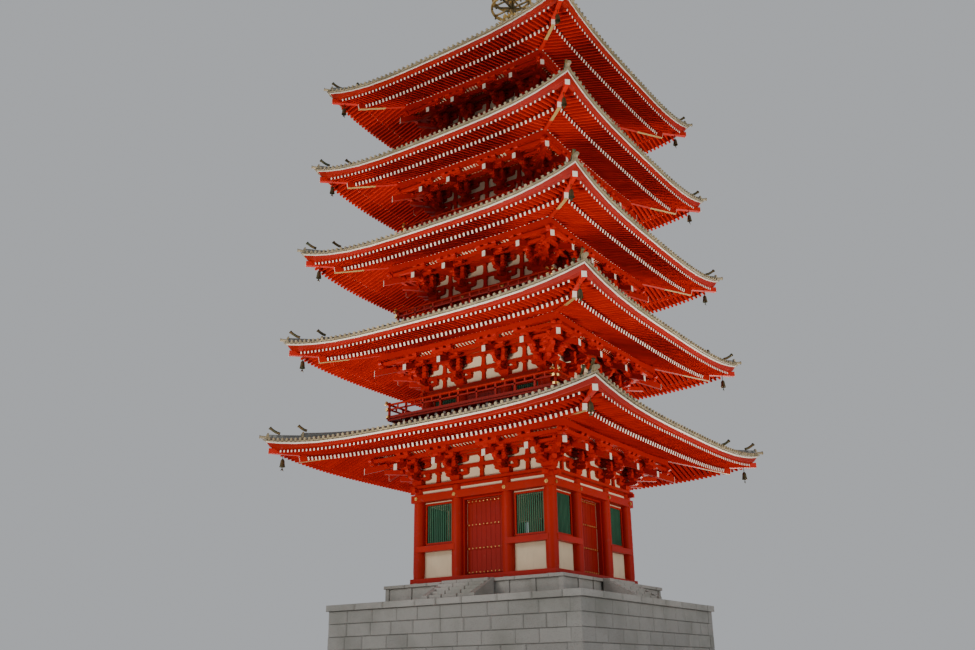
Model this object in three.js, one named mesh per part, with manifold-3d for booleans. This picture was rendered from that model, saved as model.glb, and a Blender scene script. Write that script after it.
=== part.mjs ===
// A Japanese five-storey pagoda, modelled at half its real size from the plinth's foot to the finial's tip.
// Sizes are real metres, Z is up, and the origin is the middle of the plinth's underside.
import * as THREE from "three";
import { mergeVertices } from "three/addons/utils/BufferGeometryUtils.js";
import Module from "manifold-3d";

// Driving dimensions, in metres of the real building
const MODEL_SCALE = 1 / 2;
const M = 1000 * MODEL_SCALE; // model millimetres in one real metre
const GAP = 0.3 / M; // 0.3 mm in the model between pieces that touch

const STOREYS = 5;
const STOREY_PITCH = 5.22; // from one eave to the next
const EAVE_HALF_WIDTHS = [9.38, 8.89, 8.48, 8.14, 7.83]; // to the white board at the eave's corner
const BODY_HALF_WIDTH = 3.83; // to the corner columns' centres on the first storey
const BODY_TAPER = 0.245; // less on each storey above
const MIDDLE_BAY = 0.385; // inner columns' place, as a share of the body's half-width
const PLINTH = { half: 6.9, height: 5.0, coping: 0.3, coping_out: 0.12 };
const FIRST_PLATE_TOP = PLINTH.height + 5.79; // top of the first storey's wall plate
const BALCONY_BELOW_PLATE = 1.66; // from an upper storey's wall plate down to its floor

const COLUMN_RADIUS = 0.3;
const COLUMN_SIDES = 8;
const WALL_FACE_IN = 0.28; // the wall's outer face, inward of the columns' centres
const WALL_THICKNESS = 0.2;

const EAVE_CORNER = 2.15; // white board at the corner, above the wall plate
const EAVE_RISES = [0.66, 0.66, 0.86, 0.85, 0.85]; // how far each eave's corner stands above its middle
const LEVEL_SHARE = 0.45; // the middle of the eave that stays level, as a share of its length
const RISE_POWER = 1.7; // how sharply the eave curves up beyond it
const RISE_REACH = 0.66; // how far up the roof the rise is felt, as a share of its slope
const PURLIN_OUT = 1.72; // eave purlin's centre, outward of the columns' centres
const PURLIN_HALF = 0.13;
const RAFTER_AT_PURLIN = EAVE_CORNER - 0.42; // base rafters' underside there, above the wall plate
const RAFTER_DROP = 0.4; // how far those rafters sink for each metre that the eave's corner rises more
const BASE_RAFTER_SLOPE = 0.32;
const BASE_RAFTER_BACK = 1.39; // base rafters' ends, inward of the white board
const BASE_RISE = 0.27; // how far the ends of that row stand higher at the corner
const FLYING_RAFTER_BACK = 0.2; // flying rafters' ends, inward of the white board
const FLYING_RISE_SHARE = 0.69; // how much of the eave's rise that row follows
const FLYING_BELOW = 0.35; // underside of its ends, below the middle of the white board
const TILE_EDGE = { out: 0.12, low: 0.06, high: 0.16 }; // the tiles' edge, from the white board
const TAIL_OUT = 2.02; // tail rafters' ends, outward of the columns' centres
const TAIL_SLOPE = 0.37;

const PODIUM = { half: 5.0, height: 0.9, coping: 0.16, coping_out: 0.08 };
const PODIUM_TOP = PLINTH.height + PODIUM.height;
const STEPS = { count: 5, going: 0.29, width: 2.6, cheek: 0.3 };
const BALCONY = { out: 1.55, thickness: 0.16, beam_out: 0.62, beam_width: 0.24 };
const RAILING = { in: 0.12, height: 0.86, past_corner: 0.32, post: 0.1, rail: 0.12 };
const BELL = { back: 0.63, radius: 0.15, height: 0.36, drop: 0.24 };
const APEX_HALF_WIDTH = 0.92; // the flat curb that carries the finial
const APEX_RISE = 4.2; // from the top eave's corner to that curb

const wasm = await Module();
wasm.setup();

// Materials
const finish = (color, roughness, metalness) => ({ color, roughness, metalness });
const VERMILION = finish(0xb3281a, 0.55, 0);
const PLASTER = finish(0xe9dfc8, 0.9, 0);
const STONE = finish(0x9b978e, 0.85, 0);
const TILE = finish(0x5f6660, 0.5, 0.3);
const BRONZE = finish(0x8a6a35, 0.4, 0.9);

// A closed three.js geometry as a solid that can be joined and cut.
function solid(geometry) {
  const bare = new THREE.BufferGeometry();
  bare.setAttribute("position", geometry.getAttribute("position").clone());
  if (geometry.index) bare.setIndex(geometry.index.clone());
  const merged = mergeVertices(bare, 1e-5);
  const mesh = new wasm.Mesh({
    numProp: 3,
    vertProperties: new Float32Array(merged.attributes.position.array),
    triVerts: new Uint32Array(merged.index.array),
  });
  return new wasm.Manifold(mesh);
}

const join = (solids) => solids.reduce((whole, next) => whole.add(next));
const cut = (whole, cutters) => whole.subtract(join(cutters));

function box(x0, x1, y0, y1, z0, z1) {
  const geometry = new THREE.BoxGeometry(x1 - x0, y1 - y0, z1 - z0);
  return geometry.translate((x0 + x1) / 2, (y0 + y1) / 2, (z0 + z1) / 2);
}

// An upright round post or disc, from z0 to z1.
function cylinder(radius, z0, z1, sides, x = 0, y = 0) {
  const geometry = new THREE.CylinderGeometry(radius, radius, z1 - z0, sides);
  return geometry.rotateX(Math.PI / 2).translate(x, y, (z0 + z1) / 2);
}

// A square ring lying flat, such as a beam that runs round all four sides.
function beamRing(inner, outer, z0, z1) {
  const square = (half) => [
    new THREE.Vector2(-half, -half),
    new THREE.Vector2(half, -half),
    new THREE.Vector2(half, half),
    new THREE.Vector2(-half, half),
  ];
  const shape = new THREE.Shape(square(outer));
  shape.holes.push(new THREE.Path(square(inner).reverse()));
  return new THREE.ExtrudeGeometry(shape, { depth: z1 - z0, bevelEnabled: false }).translate(0, 0, z0);
}

// A plate cut to an outline of [outward, up] points, its outward direction turned about Z.
function outlinePlate(outline, width, across = 0, turn = 0) {
  const shape = new THREE.Shape(outline.map(([outward, up]) => new THREE.Vector2(outward, up)));
  const geometry = new THREE.ExtrudeGeometry(shape, { depth: width, bevelEnabled: false });
  geometry.translate(0, 0, across - width / 2).rotateX(Math.PI / 2).rotateZ(turn);
  return geometry;
}

const SIDES = [0, 1, 2, 3].map((side) => (side * Math.PI) / 2);
const CORNERS = SIDES.map((turn) => turn + Math.PI / 4);

// Places along one side of the roof, close together near the corners, where the eave curves most.
const STATIONS = [-1, -0.82, -LEVEL_SHARE, LEVEL_SHARE, 0.82];
const riseAt = (along) => (Math.max(0, Math.abs(along) - LEVEL_SHARE) / (1 - LEVEL_SHARE)) ** RISE_POWER;

// A ring round the square building from a closed outline of [half-width, height, corner rise] points.
function eaveRing(outline) {
  const points = [];
  for (const turn of SIDES) {
    for (const along of STATIONS) {
      for (const [half, height, rise] of outline) {
        const lifted = height + rise * riseAt(along);
        const point = new THREE.Vector3(along * half, -half, lifted);
        points.push(...point.applyAxisAngle(new THREE.Vector3(0, 0, 1), turn));
      }
    }
  }
  const around = SIDES.length * STATIONS.length;
  const across = outline.length;
  const index = [];
  for (let i = 0; i < around; i++) {
    for (let j = 0; j < across; j++) {
      const [a, b] = [i * across + j, i * across + ((j + 1) % across)];
      const [c, d] = [((i + 1) % around) * across + j, ((i + 1) % around) * across + ((j + 1) % across)];
      index.push(a, c, b, b, c, d);
    }
  }
  const geometry = new THREE.BufferGeometry();
  geometry.setAttribute("position", new THREE.Float32BufferAttribute(points, 3));
  return geometry.setIndex(index);
}

const pagoda = new THREE.Group();
pagoda.name = "pagoda";

// One named piece of the model, in its group, from a solid in metres.
function place(group, name, piece, look, turn = 0) {
  const mesh = piece.getMesh();
  const geometry = new THREE.BufferGeometry();
  geometry.setAttribute("position", new THREE.BufferAttribute(new Float32Array(mesh.vertProperties), 3));
  geometry.setIndex(new THREE.BufferAttribute(new Uint32Array(mesh.triVerts), 1));
  geometry.scale(M, M, M).computeVertexNormals();
  const shown = new THREE.Mesh(geometry, new THREE.MeshStandardMaterial(look));
  shown.name = name;
  shown.rotation.z = turn;
  group.add(shown);
}

// The sizes of one storey, with heights above its wall plate's top
function storeySizes(number) {
  const level = number - 1;
  const body = BODY_HALF_WIDTH - BODY_TAPER * level;
  const first = number === 1;
  return {
    number,
    body,
    first,
    top: number === STOREYS,
    inner: body * MIDDLE_BAY,
    eave: EAVE_HALF_WIDTHS[level],
    rise: EAVE_RISES[level],
    eaveMiddle: EAVE_CORNER - EAVE_RISES[level],
    rafterAtPurlin: RAFTER_AT_PURLIN - RAFTER_DROP * (EAVE_RISES[level] - EAVE_RISES[0]),
    plate: FIRST_PLATE_TOP + STOREY_PITCH * level,
    floor: first ? PODIUM_TOP - FIRST_PLATE_TOP : -BALCONY_BELOW_PLATE,
    nextBalcony: STOREY_PITCH - BALCONY_BELOW_PLATE - BALCONY.thickness,
    wallFace: body - WALL_FACE_IN,
  };
}

function columnPlaces(s) {
  return SIDES.flatMap((turn) =>
    [-s.body, -s.inner, s.inner].map((x) => {
      const foot = new THREE.Vector3(x, -s.body, 0);
      return foot.applyAxisAngle(new THREE.Vector3(0, 0, 1), turn);
    }),
  );
}

const PLATE_DEPTH = 0.14;

// Columns with the beams that tie them at sill, waist and head; an upper storey's doors are fixed in it
function frame(s) {
  const out = COLUMN_RADIUS + 0.03;
  const ring = (z0, z1) => solid(beamRing(s.wallFace + GAP, s.body + out, z0, z1));
  const shaft = cylinder(COLUMN_RADIUS, s.floor + GAP, -PLATE_DEPTH - GAP, COLUMN_SIDES);
  shaft.rotateZ(Math.PI / COLUMN_SIDES);
  const columns = columnPlaces(s).map((p) => solid(shaft.clone().translate(p.x, p.y, 0)));
  const head = ring(s.first ? -0.84 : -0.62, s.first ? -0.46 : -0.36);
  if (!s.first) {
    const blindDoor = box(-s.inner, s.inner, -s.body - 0.04, -s.body + 0.04, s.floor + GAP, -0.5);
    return join([...columns, head, ...SIDES.map((turn) => solid(blindDoor.clone().rotateZ(turn)))]);
  }
  const sill = ring(s.floor + GAP, s.floor + 0.32);
  const bay = s.inner - COLUMN_RADIUS + 0.02;
  const waist = cut(ring(-3.3, -3.02), [
    solid(box(-bay, bay, -9, 9, -3.4, -2.9)),
    solid(box(-9, 9, -bay, bay, -3.4, -2.9)),
  ]);
  return join([...columns, sill, head, waist]);
}

// Door and window openings of one side, as [from, to, bottom, top] along the wall
function openings(s) {
  const half = s.inner - COLUMN_RADIUS - 0.08;
  const [low, high] = s.first ? [0.34, -0.92] : [0.22, -0.66];
  const window = { low: s.first ? -2.85 : s.floor + 0.34, high: s.first ? -1.0 : -0.76 };
  const from = s.inner + COLUMN_RADIUS + 0.12;
  const to = s.body - COLUMN_RADIUS - 0.12;
  return {
    door: [-half, half, s.floor + low, high],
    windows: [
      [from, to, window.low, window.high],
      [-to, -from, window.low, window.high],
    ],
  };
}

// The plastered wall ring, hollow inside, with its doors and windows cut through
function wall(s) {
  const top = s.top ? 2.1 : s.nextBalcony - GAP;
  const ring = solid(beamRing(s.wallFace - WALL_THICKNESS, s.wallFace, s.floor + GAP, top));
  const { door, windows } = openings(s);
  const through = [door, ...windows].flatMap(([x0, x1, z0, z1]) => [
    solid(box(x0, x1, -s.body, s.body, z0, z1)),
    solid(box(-s.body, s.body, x0, x1, z0, z1)),
  ]);
  return cut(ring, through);
}

// The side of one three-step bracket set, [outward, up] from the column's centre and the wall plate's top
function bracketOutline(back) {
  const tail = (out, side) => 0.7 + (TAIL_OUT - out) * TAIL_SLOPE + side * 0.13;
  return [
    [back, 0.001],
    [0.28, 0.001],
    [0.67, 0.42],
    [1.24, tail(1.24, -1) - 0.12],
    [1.24, tail(1.24, -1)],
    [TAIL_OUT, tail(TAIL_OUT, -1)],
    [TAIL_OUT, tail(TAIL_OUT, 1)],
    [back, tail(back, 1)],
  ];
}

// Bracket sets over the columns, with the wall plate and the beams that run round on each step
function brackets(s) {
  const back = -WALL_FACE_IN + GAP;
  const width = 0.24;
  const plates = SIDES.flatMap((turn) =>
    [-s.inner, s.inner].map((across) => {
      const outline = bracketOutline(back).map(([out, up]) => [s.body + out, up]);
      return solid(outlinePlate(outline, width, across, turn));
    }),
  );
  const corners = CORNERS.map((turn) => {
    const outline = bracketOutline(-0.06).map(([out, up]) => [(s.body + out) * Math.SQRT2, up]);
    return solid(outlinePlate(outline, width, 0, turn));
  });
  const ring = (from, to, z0, z1) => solid(beamRing(s.body + from, s.body + to, z0, z1));
  const purlinTop = s.rafterAtPurlin - BASE_RAFTER_SLOPE * PURLIN_HALF - GAP;
  return join([
    ring(back, 0.36, -PLATE_DEPTH, 0.002),
    ring(PURLIN_OUT - PURLIN_HALF, PURLIN_OUT + PURLIN_HALF, 1.0, purlinTop),
    ...plates,
    ...corners,
  ]);
}

// The rafter deck: base rafters, flying rafters a step above them, fascia, white board, hip rafters and bells
function eaves(s) {
  const wallSide = s.wallFace + GAP;
  const purlin = s.body + PURLIN_OUT;
  const baseEnd = s.eave - BASE_RAFTER_BACK;
  const flyingEnd = s.eave - FLYING_RAFTER_BACK;
  const base = (half) => s.rafterAtPurlin - BASE_RAFTER_SLOPE * (half - purlin);
  const flyingLow = s.eaveMiddle - FLYING_BELOW;
  const flyingRise = s.rise * FLYING_RISE_SHARE;
  const outline = [
    [wallSide, base(wallSide), 0],
    [baseEnd, base(baseEnd), BASE_RISE],
    [baseEnd, base(baseEnd) + 0.24, BASE_RISE],
    [flyingEnd, flyingLow, flyingRise],
    [flyingEnd + 0.04, flyingLow + 0.14, flyingRise],
    [s.eave, s.eaveMiddle - 0.05, s.rise],
    [s.eave, s.eaveMiddle + TILE_EDGE.low, s.rise],
    [baseEnd, base(baseEnd) + 0.4, BASE_RISE],
    [wallSide, base(wallSide) + 0.24, 0],
  ];
  const pieces = [solid(eaveRing(outline))];
  for (const turn of CORNERS) {
    const diagonal = (points) => points.map(([half, up]) => [half * Math.SQRT2, up]);
    const hip = diagonal([
      [purlin + 0.2, base(purlin + 0.2) - 0.06],
      [baseEnd + 0.18, base(baseEnd) + BASE_RISE - 0.16],
      [baseEnd + 0.18, base(baseEnd) + BASE_RISE + 0.22],
      [s.eave - 0.12, flyingLow + flyingRise - 0.08],
      [s.eave - 0.12, flyingLow + flyingRise + 0.2],
      [purlin + 0.2, base(purlin + 0.2) + 0.1],
    ]);
    pieces.push(solid(outlinePlate(hip, 0.3, 0, turn)));
    const reach = s.eave - BELL.back;
    const hook = flyingLow + flyingRise;
    const bellTop = hook - 0.14 - BELL.drop;
    const [x, y] = [Math.cos(turn) * reach * Math.SQRT2, Math.sin(turn) * reach * Math.SQRT2];
    pieces.push(solid(box(x - 0.03, x + 0.03, y - 0.03, y + 0.03, bellTop - 0.02, hook + 0.1)));
    const profile = [
      [0, bellTop - BELL.height],
      [BELL.radius, bellTop - BELL.height],
      [BELL.radius * 0.72, bellTop],
      [0, bellTop],
    ];
    const bell = new THREE.LatheGeometry(profile.map(([r, z]) => new THREE.Vector2(r, z)), 6);
    pieces.push(solid(bell.rotateX(Math.PI / 2).translate(x, y, 0)));
  }
  return join(pieces);
}

// The top surface of a tiled roof: [half-width, height, corner rise] at a share of the way up from the eave
function roofSurface(s) {
  const nose = s.eave + TILE_EDGE.out;
  const inner = s.top ? APEX_HALF_WIDTH : s.wallFace + GAP;
  const low = s.eaveMiddle + TILE_EDGE.high;
  const high = s.top ? EAVE_CORNER + APEX_RISE : s.nextBalcony - 0.05;
  const straight = s.top ? 0.58 : 0.7;
  return (share) => [
    nose + (inner - nose) * share,
    low + (high - low) * (straight * share + (1 - straight) * share ** 2),
    s.rise * Math.max(0, 1 - share / RISE_REACH) ** 1.4,
  ];
}

// Where the roof shell's slope is broken, as shares of the way up
const ROOF_SHARES = [0, 0.33, 0.66, 1];

// The tiled roof shell with its four hip ridges and their end ornaments
function roof(s) {
  const surface = roofSurface(s);
  const above = ROOF_SHARES.map(surface);
  const thickness = 0.2;
  const below = [1, 0.5].map(surface).map(([half, up, rise]) => [half, up - thickness, rise]);
  const seat = s.eaveMiddle + TILE_EDGE.low + GAP;
  const outline = [
    [s.eave, seat, s.rise],
    [s.eave + TILE_EDGE.out, seat, s.rise],
    ...above,
    ...(s.top ? [[0.5, above.at(-1)[1], 0], [0.5, above.at(-1)[1] - thickness, 0]] : []),
    ...below,
  ];
  const pieces = [solid(eaveRing(outline))];
  // a low ridge from the corner, then a tall one up to the wall or the curb, each with its end tile
  const ridgeLine = (share, up) => {
    const [half, height, rise] = surface(share);
    return [half * Math.SQRT2, height + rise + up];
  };
  const last = s.top ? 0.97 : 0.76;
  const ridge = [
    ridgeLine(0.02, -0.05),
    ...[0.25, 0.5, last].map((share) => ridgeLine(share, -0.12)),
    ridgeLine(last, 0.42),
    ridgeLine(0.5, 0.42),
    ridgeLine(0.28, 0.5),
    ridgeLine(0.24, 0.62),
    ridgeLine(0.23, 0.24),
    ridgeLine(0.02, 0.24),
  ];
  const fromCorner = ([out, up]) => [(s.eave + out) * Math.SQRT2, EAVE_CORNER + up];
  const horn = [[-0.6, 0.1], [-0.3, 0.15], [-0.05, 0.66], [-0.14, 0.76], [-0.6, 0.45]].map(fromCorner);
  const cornerTile = [[-0.25, 0.08], [0, 0.07], [0.26, 0.12], [0.26, 0.32], [-0.25, 0.26]].map(fromCorner);
  for (const turn of CORNERS) {
    pieces.push(
      solid(outlinePlate(ridge, 0.34, 0, turn)),
      solid(outlinePlate(horn, 0.2, 0, turn)),
      solid(outlinePlate(cornerTile, 0.22, 0, turn)),
    );
  }
  return join(pieces);
}

// The floor of an upper storey, which reaches out as its balcony
function balcony(s) {
  const half = s.body + BALCONY.out;
  return solid(box(-half, half, -half, half, s.floor - BALCONY.thickness, s.floor));
}

// The waist beam that carries the balcony on the roof below
function waist(s, below) {
  const [[outer, outerUp], [inner, innerUp]] = ROOF_SHARES.slice(-2).map(roofSurface(below));
  const beam = s.body + BALCONY.beam_out;
  const roofUp = innerUp + ((outerUp - innerUp) * (beam - inner)) / (outer - inner);
  const high = s.floor - BALCONY.thickness - GAP;
  return solid(beamRing(beam, beam + BALCONY.beam_width, roofUp + GAP - STOREY_PITCH, high));
}

// The balcony railing: posts between two rails that cross past the corners
function railing(s) {
  const line = s.body + BALCONY.out - RAILING.in;
  const reach = line + RAILING.past_corner;
  const low = s.floor + GAP;
  const top = s.floor + RAILING.height;
  const half = RAILING.rail / 2;
  const bar = (z0, z1) =>
    [-line, line].flatMap((middle) => [
      solid(box(-reach, reach, middle - half, middle + half, z0, z1)),
      solid(box(middle - half, middle + half, -reach, reach, z0, z1)),
    ]);
  const postHalf = RAILING.post / 2;
  const post = box(-postHalf, postHalf, -line - postHalf, -line + postHalf, low + 0.05, top - 0.05);
  const posts = SIDES.flatMap((turn) =>
    [-line, 0].map((x) => solid(post.clone().translate(x, 0, 0).rotateZ(turn))),
  );
  return join([...bar(low, low + RAILING.rail), ...bar(top - RAILING.rail, top), ...posts]);
}

// A pair of closed door leaves in their jambs, one solid, for the south side
function doors(s) {
  const { door } = openings(s);
  const [x0, x1, z0, z1] = door;
  const [low, high] = [z0 + GAP, z1 - GAP];
  const [left, right] = [x0 + GAP, x1 - GAP];
  const front = -s.wallFace - 0.02;
  const back = -s.wallFace + 0.12;
  const jamb = 0.16;
  const leaves = solid(box(left, right, -s.wallFace + 0.02, -s.wallFace + 0.1, low, high));
  const surround = [
    solid(box(left, left + jamb, front, back, low, high)),
    solid(box(right - jamb, right, front, back, low, high)),
    solid(box(left, right, front, back, high - jamb, high)),
    solid(box(left, right, front, back, low, low + jamb)),
    solid(box(-0.05, 0.05, front, back, low, high)),
  ];
  return join([leaves, ...surround]);
}

const slab = (half, z0, z1) => solid(box(-half, half, -half, half, z0, z1));

// The tall masonry plinth, with its coping, which brings the pagoda above the roofs around it
function plinth() {
  const { half, height, coping, coping_out } = PLINTH;
  return join([slab(half, 0, height), slab(half + coping_out, height - coping, height)]);
}

// The low stone podium that the columns stand on
function podium() {
  const { half, coping, coping_out } = PODIUM;
  return join([
    slab(half, PLINTH.height, PODIUM_TOP),
    slab(half + coping_out, PODIUM_TOP - coping, PODIUM_TOP),
  ]);
}

// One flight of stone steps with its cheek walls, for the south side
function steps() {
  const { count, going, width, cheek } = STEPS;
  const rise = PODIUM.height / count;
  const from = PODIUM.half + PODIUM.coping_out + GAP;
  const foot = from + going * count;
  const low = PLINTH.height + GAP;
  const treads = Array.from({ length: count }, (_, step) => [
    [foot - going * step, step === 0 ? low : PLINTH.height + rise * step],
    [foot - going * step, PLINTH.height + rise * (step + 1)],
  ]).flat();
  const cheekSide = [
    [from, low],
    [foot + 0.1, low],
    [foot + 0.1, low + 0.16],
    [from, PODIUM_TOP + 0.02],
  ];
  const turn = -Math.PI / 2;
  const cheeks = [-1, 1].map((side) => solid(outlinePlate(cheekSide, cheek, (side * width) / 2, turn)));
  return join([solid(outlinePlate([[from, low], ...treads, [from, PODIUM_TOP]], width, 0, turn)), ...cheeks]);
}

// Finial heights above the plinth's underside
const CURB = FIRST_PLATE_TOP + STOREY_PITCH * (STOREYS - 1) + EAVE_CORNER + APEX_RISE;
const MAST_RADIUS = 0.15;
const FINIAL_SIDES = 8;

function lathe(profile, sides = FINIAL_SIDES) {
  const points = profile.map(([radius, up]) => new THREE.Vector2(radius, up));
  return new THREE.LatheGeometry(points, sides).rotateX(Math.PI / 2);
}

function dewBasin() {
  const body = join([
    slab(0.9, CURB + GAP, CURB + 0.16),
    slab(0.78, CURB + 0.1, CURB + 1.1),
    slab(0.9, CURB + 1.02, CURB + 1.2),
  ]);
  return cut(body, [solid(cylinder(MAST_RADIUS + GAP, CURB - 1, CURB + 2, FINIAL_SIDES))]);
}

function bowlAndLotus() {
  const bore = MAST_RADIUS + GAP;
  const base = CURB + 1.2 + GAP;
  return solid(
    lathe([
      [bore, base],
      [0.74, base],
      [0.7, base + 0.3],
      [0.5, base + 0.54],
      [0.3, base + 0.66],
      [0.42, base + 0.86],
      [0.92, base + 1.2],
      [0.86, base + 1.26],
      [0.3, base + 1.02],
      [bore, base + 1.02],
      [bore, base],
    ]),
  );
}

// One ring of the finial: a hoop on four spokes round a hub
function spokedRing(radius, z0, z1) {
  const inner = radius - 0.15;
  const hub = 0.26;
  const spoke = 0.06;
  const arcPoints = (r, from, to, count) =>
    Array.from({ length: count + 1 }, (_, i) => {
      const angle = from + ((to - from) * i) / count;
      return new THREE.Vector2(r * Math.cos(angle), r * Math.sin(angle));
    });
  const shape = new THREE.Shape(arcPoints(radius, 0, 2 * Math.PI, 12).slice(0, -1));
  for (const turn of SIDES) {
    const outerAngle = Math.asin(spoke / inner);
    const hubAngle = Math.asin(spoke / hub);
    const window = [
      ...arcPoints(inner, turn + outerAngle, turn + Math.PI / 2 - outerAngle, 3),
      ...arcPoints(hub, turn + Math.PI / 2 - hubAngle, turn + hubAngle, 1),
    ];
    shape.holes.push(new THREE.Path(window));
  }
  return new THREE.ExtrudeGeometry(shape, { depth: z1 - z0, bevelEnabled: false }).translate(0, 0, z0);
}

// The mast with its nine rings
function mastAndRings() {
  const first = CURB + 3.4;
  const spacing = 0.78;
  const rings = Array.from({ length: 9 }, (_, ring) => {
    const up = first + spacing * ring;
    return solid(spokedRing(1.36 - 0.07 * ring, up - 0.09, up + 0.09));
  });
  return join([solid(cylinder(MAST_RADIUS, CURB - 0.4, CURB + 14.4, FINIAL_SIDES)), ...rings]);
}

// Four openwork flames round the mast
function waterFlame() {
  const low = CURB + 10.35;
  const outline = [
    [MAST_RADIUS + GAP, low],
    [0.5, low + 0.1],
    [0.86, low + 0.5],
    [0.8, low + 0.9],
    [0.98, low + 1.2],
    [0.74, low + 1.6],
    [0.78, low + 2.0],
    [0.42, low + 2.5],
    [MAST_RADIUS + GAP, low + 2.2],
  ];
  const collar = solid(
    lathe([
      [MAST_RADIUS + GAP, low + 0.2],
      [MAST_RADIUS + 0.08, low + 0.2],
      [MAST_RADIUS + 0.08, low + 2.1],
      [MAST_RADIUS + GAP, low + 2.1],
      [MAST_RADIUS + GAP, low + 0.2],
    ]),
  );
  const fins = SIDES.map((turn) => solid(outlinePlate(outline, 0.06, 0, turn)));
  const bore = solid(cylinder(MAST_RADIUS + GAP, low - 1, low + 4, FINIAL_SIDES));
  return cut(join([collar, ...fins]), [bore]);
}

// The round ball and the pointed jewel on top of the mast
function jewels() {
  const top = CURB + 15.28;
  const seat = CURB + 14.4 + GAP;
  const bore = MAST_RADIUS + GAP;
  return solid(
    lathe([
      [0, seat],
      [bore, seat],
      [bore, seat - 0.7],
      [0.3, seat - 0.66],
      [0.38, seat - 0.42],
      [0.3, seat - 0.18],
      [0.2, seat - 0.06],
      [0.34, seat + 0.14],
      [0.38, seat + 0.34],
      [0.24, seat + 0.6],
      [0, top],
    ]),
  );
}

// Assembly
const FRONTS = ["south", "east", "north", "west"];
place(pagoda, "plinth", plinth(), STONE);
place(pagoda, "podium", podium(), STONE);
FRONTS.forEach((side, i) => place(pagoda, `steps_${side}`, steps(), STONE, SIDES[i]));

for (let number = 1; number <= STOREYS; number++) {
  const s = storeySizes(number);
  const storey = new THREE.Group();
  storey.name = `storey_${number}`;
  storey.position.z = s.plate * M;
  pagoda.add(storey);
  if (!s.first) {
    place(storey, `waist_${number}`, waist(s, storeySizes(number - 1)), VERMILION);
    place(storey, `balcony_${number}`, balcony(s), VERMILION);
    place(storey, `railing_${number}`, railing(s), VERMILION);
  }
  place(storey, `frame_${number}`, frame(s), VERMILION);
  place(storey, `wall_${number}`, wall(s), PLASTER);
  if (s.first) {
    FRONTS.forEach((side, i) => place(storey, `doors_${side}`, doors(s), VERMILION, SIDES[i]));
  }
  place(storey, `brackets_${number}`, brackets(s), VERMILION);
  place(storey, `eaves_${number}`, eaves(s), VERMILION);
  place(storey, `roof_${number}`, roof(s), TILE);
}

place(pagoda, "dew_basin", dewBasin(), BRONZE);
place(pagoda, "finial_bowl", bowlAndLotus(), BRONZE);
place(pagoda, "finial_rings", mastAndRings(), BRONZE);
place(pagoda, "water_flame", waterFlame(), BRONZE);
place(pagoda, "finial_jewels", jewels(), BRONZE);

export default pagoda;
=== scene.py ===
"""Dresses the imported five-storey pagoda: timbers, plaster, tiles, stone, bronze and the stage round it."""

import math
import random

import bmesh
import bpy
from bpy.props import FloatProperty, FloatVectorProperty, PointerProperty
from mathutils import Matrix, Vector


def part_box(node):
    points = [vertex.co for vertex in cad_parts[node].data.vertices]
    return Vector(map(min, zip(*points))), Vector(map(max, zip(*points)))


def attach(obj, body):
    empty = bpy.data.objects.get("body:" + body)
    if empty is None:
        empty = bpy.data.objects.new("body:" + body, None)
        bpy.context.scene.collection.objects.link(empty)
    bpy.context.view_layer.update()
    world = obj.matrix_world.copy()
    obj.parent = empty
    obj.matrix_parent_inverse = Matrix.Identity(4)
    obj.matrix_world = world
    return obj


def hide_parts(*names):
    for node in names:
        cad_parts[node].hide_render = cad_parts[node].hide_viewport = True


bl_info = {
    "name": "Five-storey pagoda",
    "version": (1, 0, 0),
    "blender": (4, 5, 0),
    "location": "View3D > Sidebar > Pagoda",
    "description": "Dresses a half-scale five-storey pagoda with rafters, brackets, tiles and railings",
    "category": "Object",
}

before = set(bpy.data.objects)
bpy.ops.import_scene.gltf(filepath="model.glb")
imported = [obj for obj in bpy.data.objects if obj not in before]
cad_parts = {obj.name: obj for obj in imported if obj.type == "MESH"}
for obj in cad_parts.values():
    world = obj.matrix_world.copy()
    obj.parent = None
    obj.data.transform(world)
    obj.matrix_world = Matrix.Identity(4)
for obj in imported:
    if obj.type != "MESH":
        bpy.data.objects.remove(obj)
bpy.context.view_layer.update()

# Every shape is drawn in metres of the real building and brought to the model's scale at the end.
MODEL_SCALE = 0.5
STOREYS = (1, 2, 3, 4, 5)
STOREY_PITCH = 5.22
COMPASS = ("south", "east", "north", "west")
SIDES = [math.pi / 2 * side for side in range(len(COMPASS))]

# The eaves rise with this power of the way from a side's middle to its corner, in this many steps.
RISE_POWER = 3.4
CURVE_STEPS = 14

# Sizes that the frame doesn't give, outward from the columns' middles and upward from the wall plate's top
COLUMN_RADIUS = 0.3
MIDDLE_BAY = 0.385
BEAM_PROUD = 0.33
WALL_IN = 0.28
PLATE_DEPTH = 0.14
UPPER_SEAT = 0.2
STEP_OUT = (0.57, 1.14, 1.72)
PURLIN_OUT = STEP_OUT[-1]
BASE_BLOCK = 0.28
TIER = 0.34
ARM_DEPTH = 0.18
ARM_WIDTH = 0.2
ARM_BACK = 0.3
TAIL_OUT = 2.02
TAIL_HEIGHT = 0.72
TAIL_SLOPE = 0.37
CEILING_BEAMS = 1.2
CEILING = 1.44

# The eaves: the height of the corners and how far the middle hangs below it, then the two rows of rafters
EAVE_CORNER = 2.15
EAVE_RISES = (0.66, 0.66, 0.86, 0.85, 0.85)
RAFTER_SLOPE = 0.32
RAFTERS_AT_PURLIN = EAVE_CORNER - 0.42
RAFTER_DROP = 0.4
BASE_BACK = 1.39
BASE_RISE = 0.27
FLYING_BACK = 0.2
FLYING_BELOW = 0.35
FLYING_STEP = 0.24
FLYING_RISE_SHARE = 0.69

# The roofs: how far the tiles pass the eave board, and the top roof's curb
NOSE = 0.12
APEX_HALF = 0.92
APEX_RISE = 4.2

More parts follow.
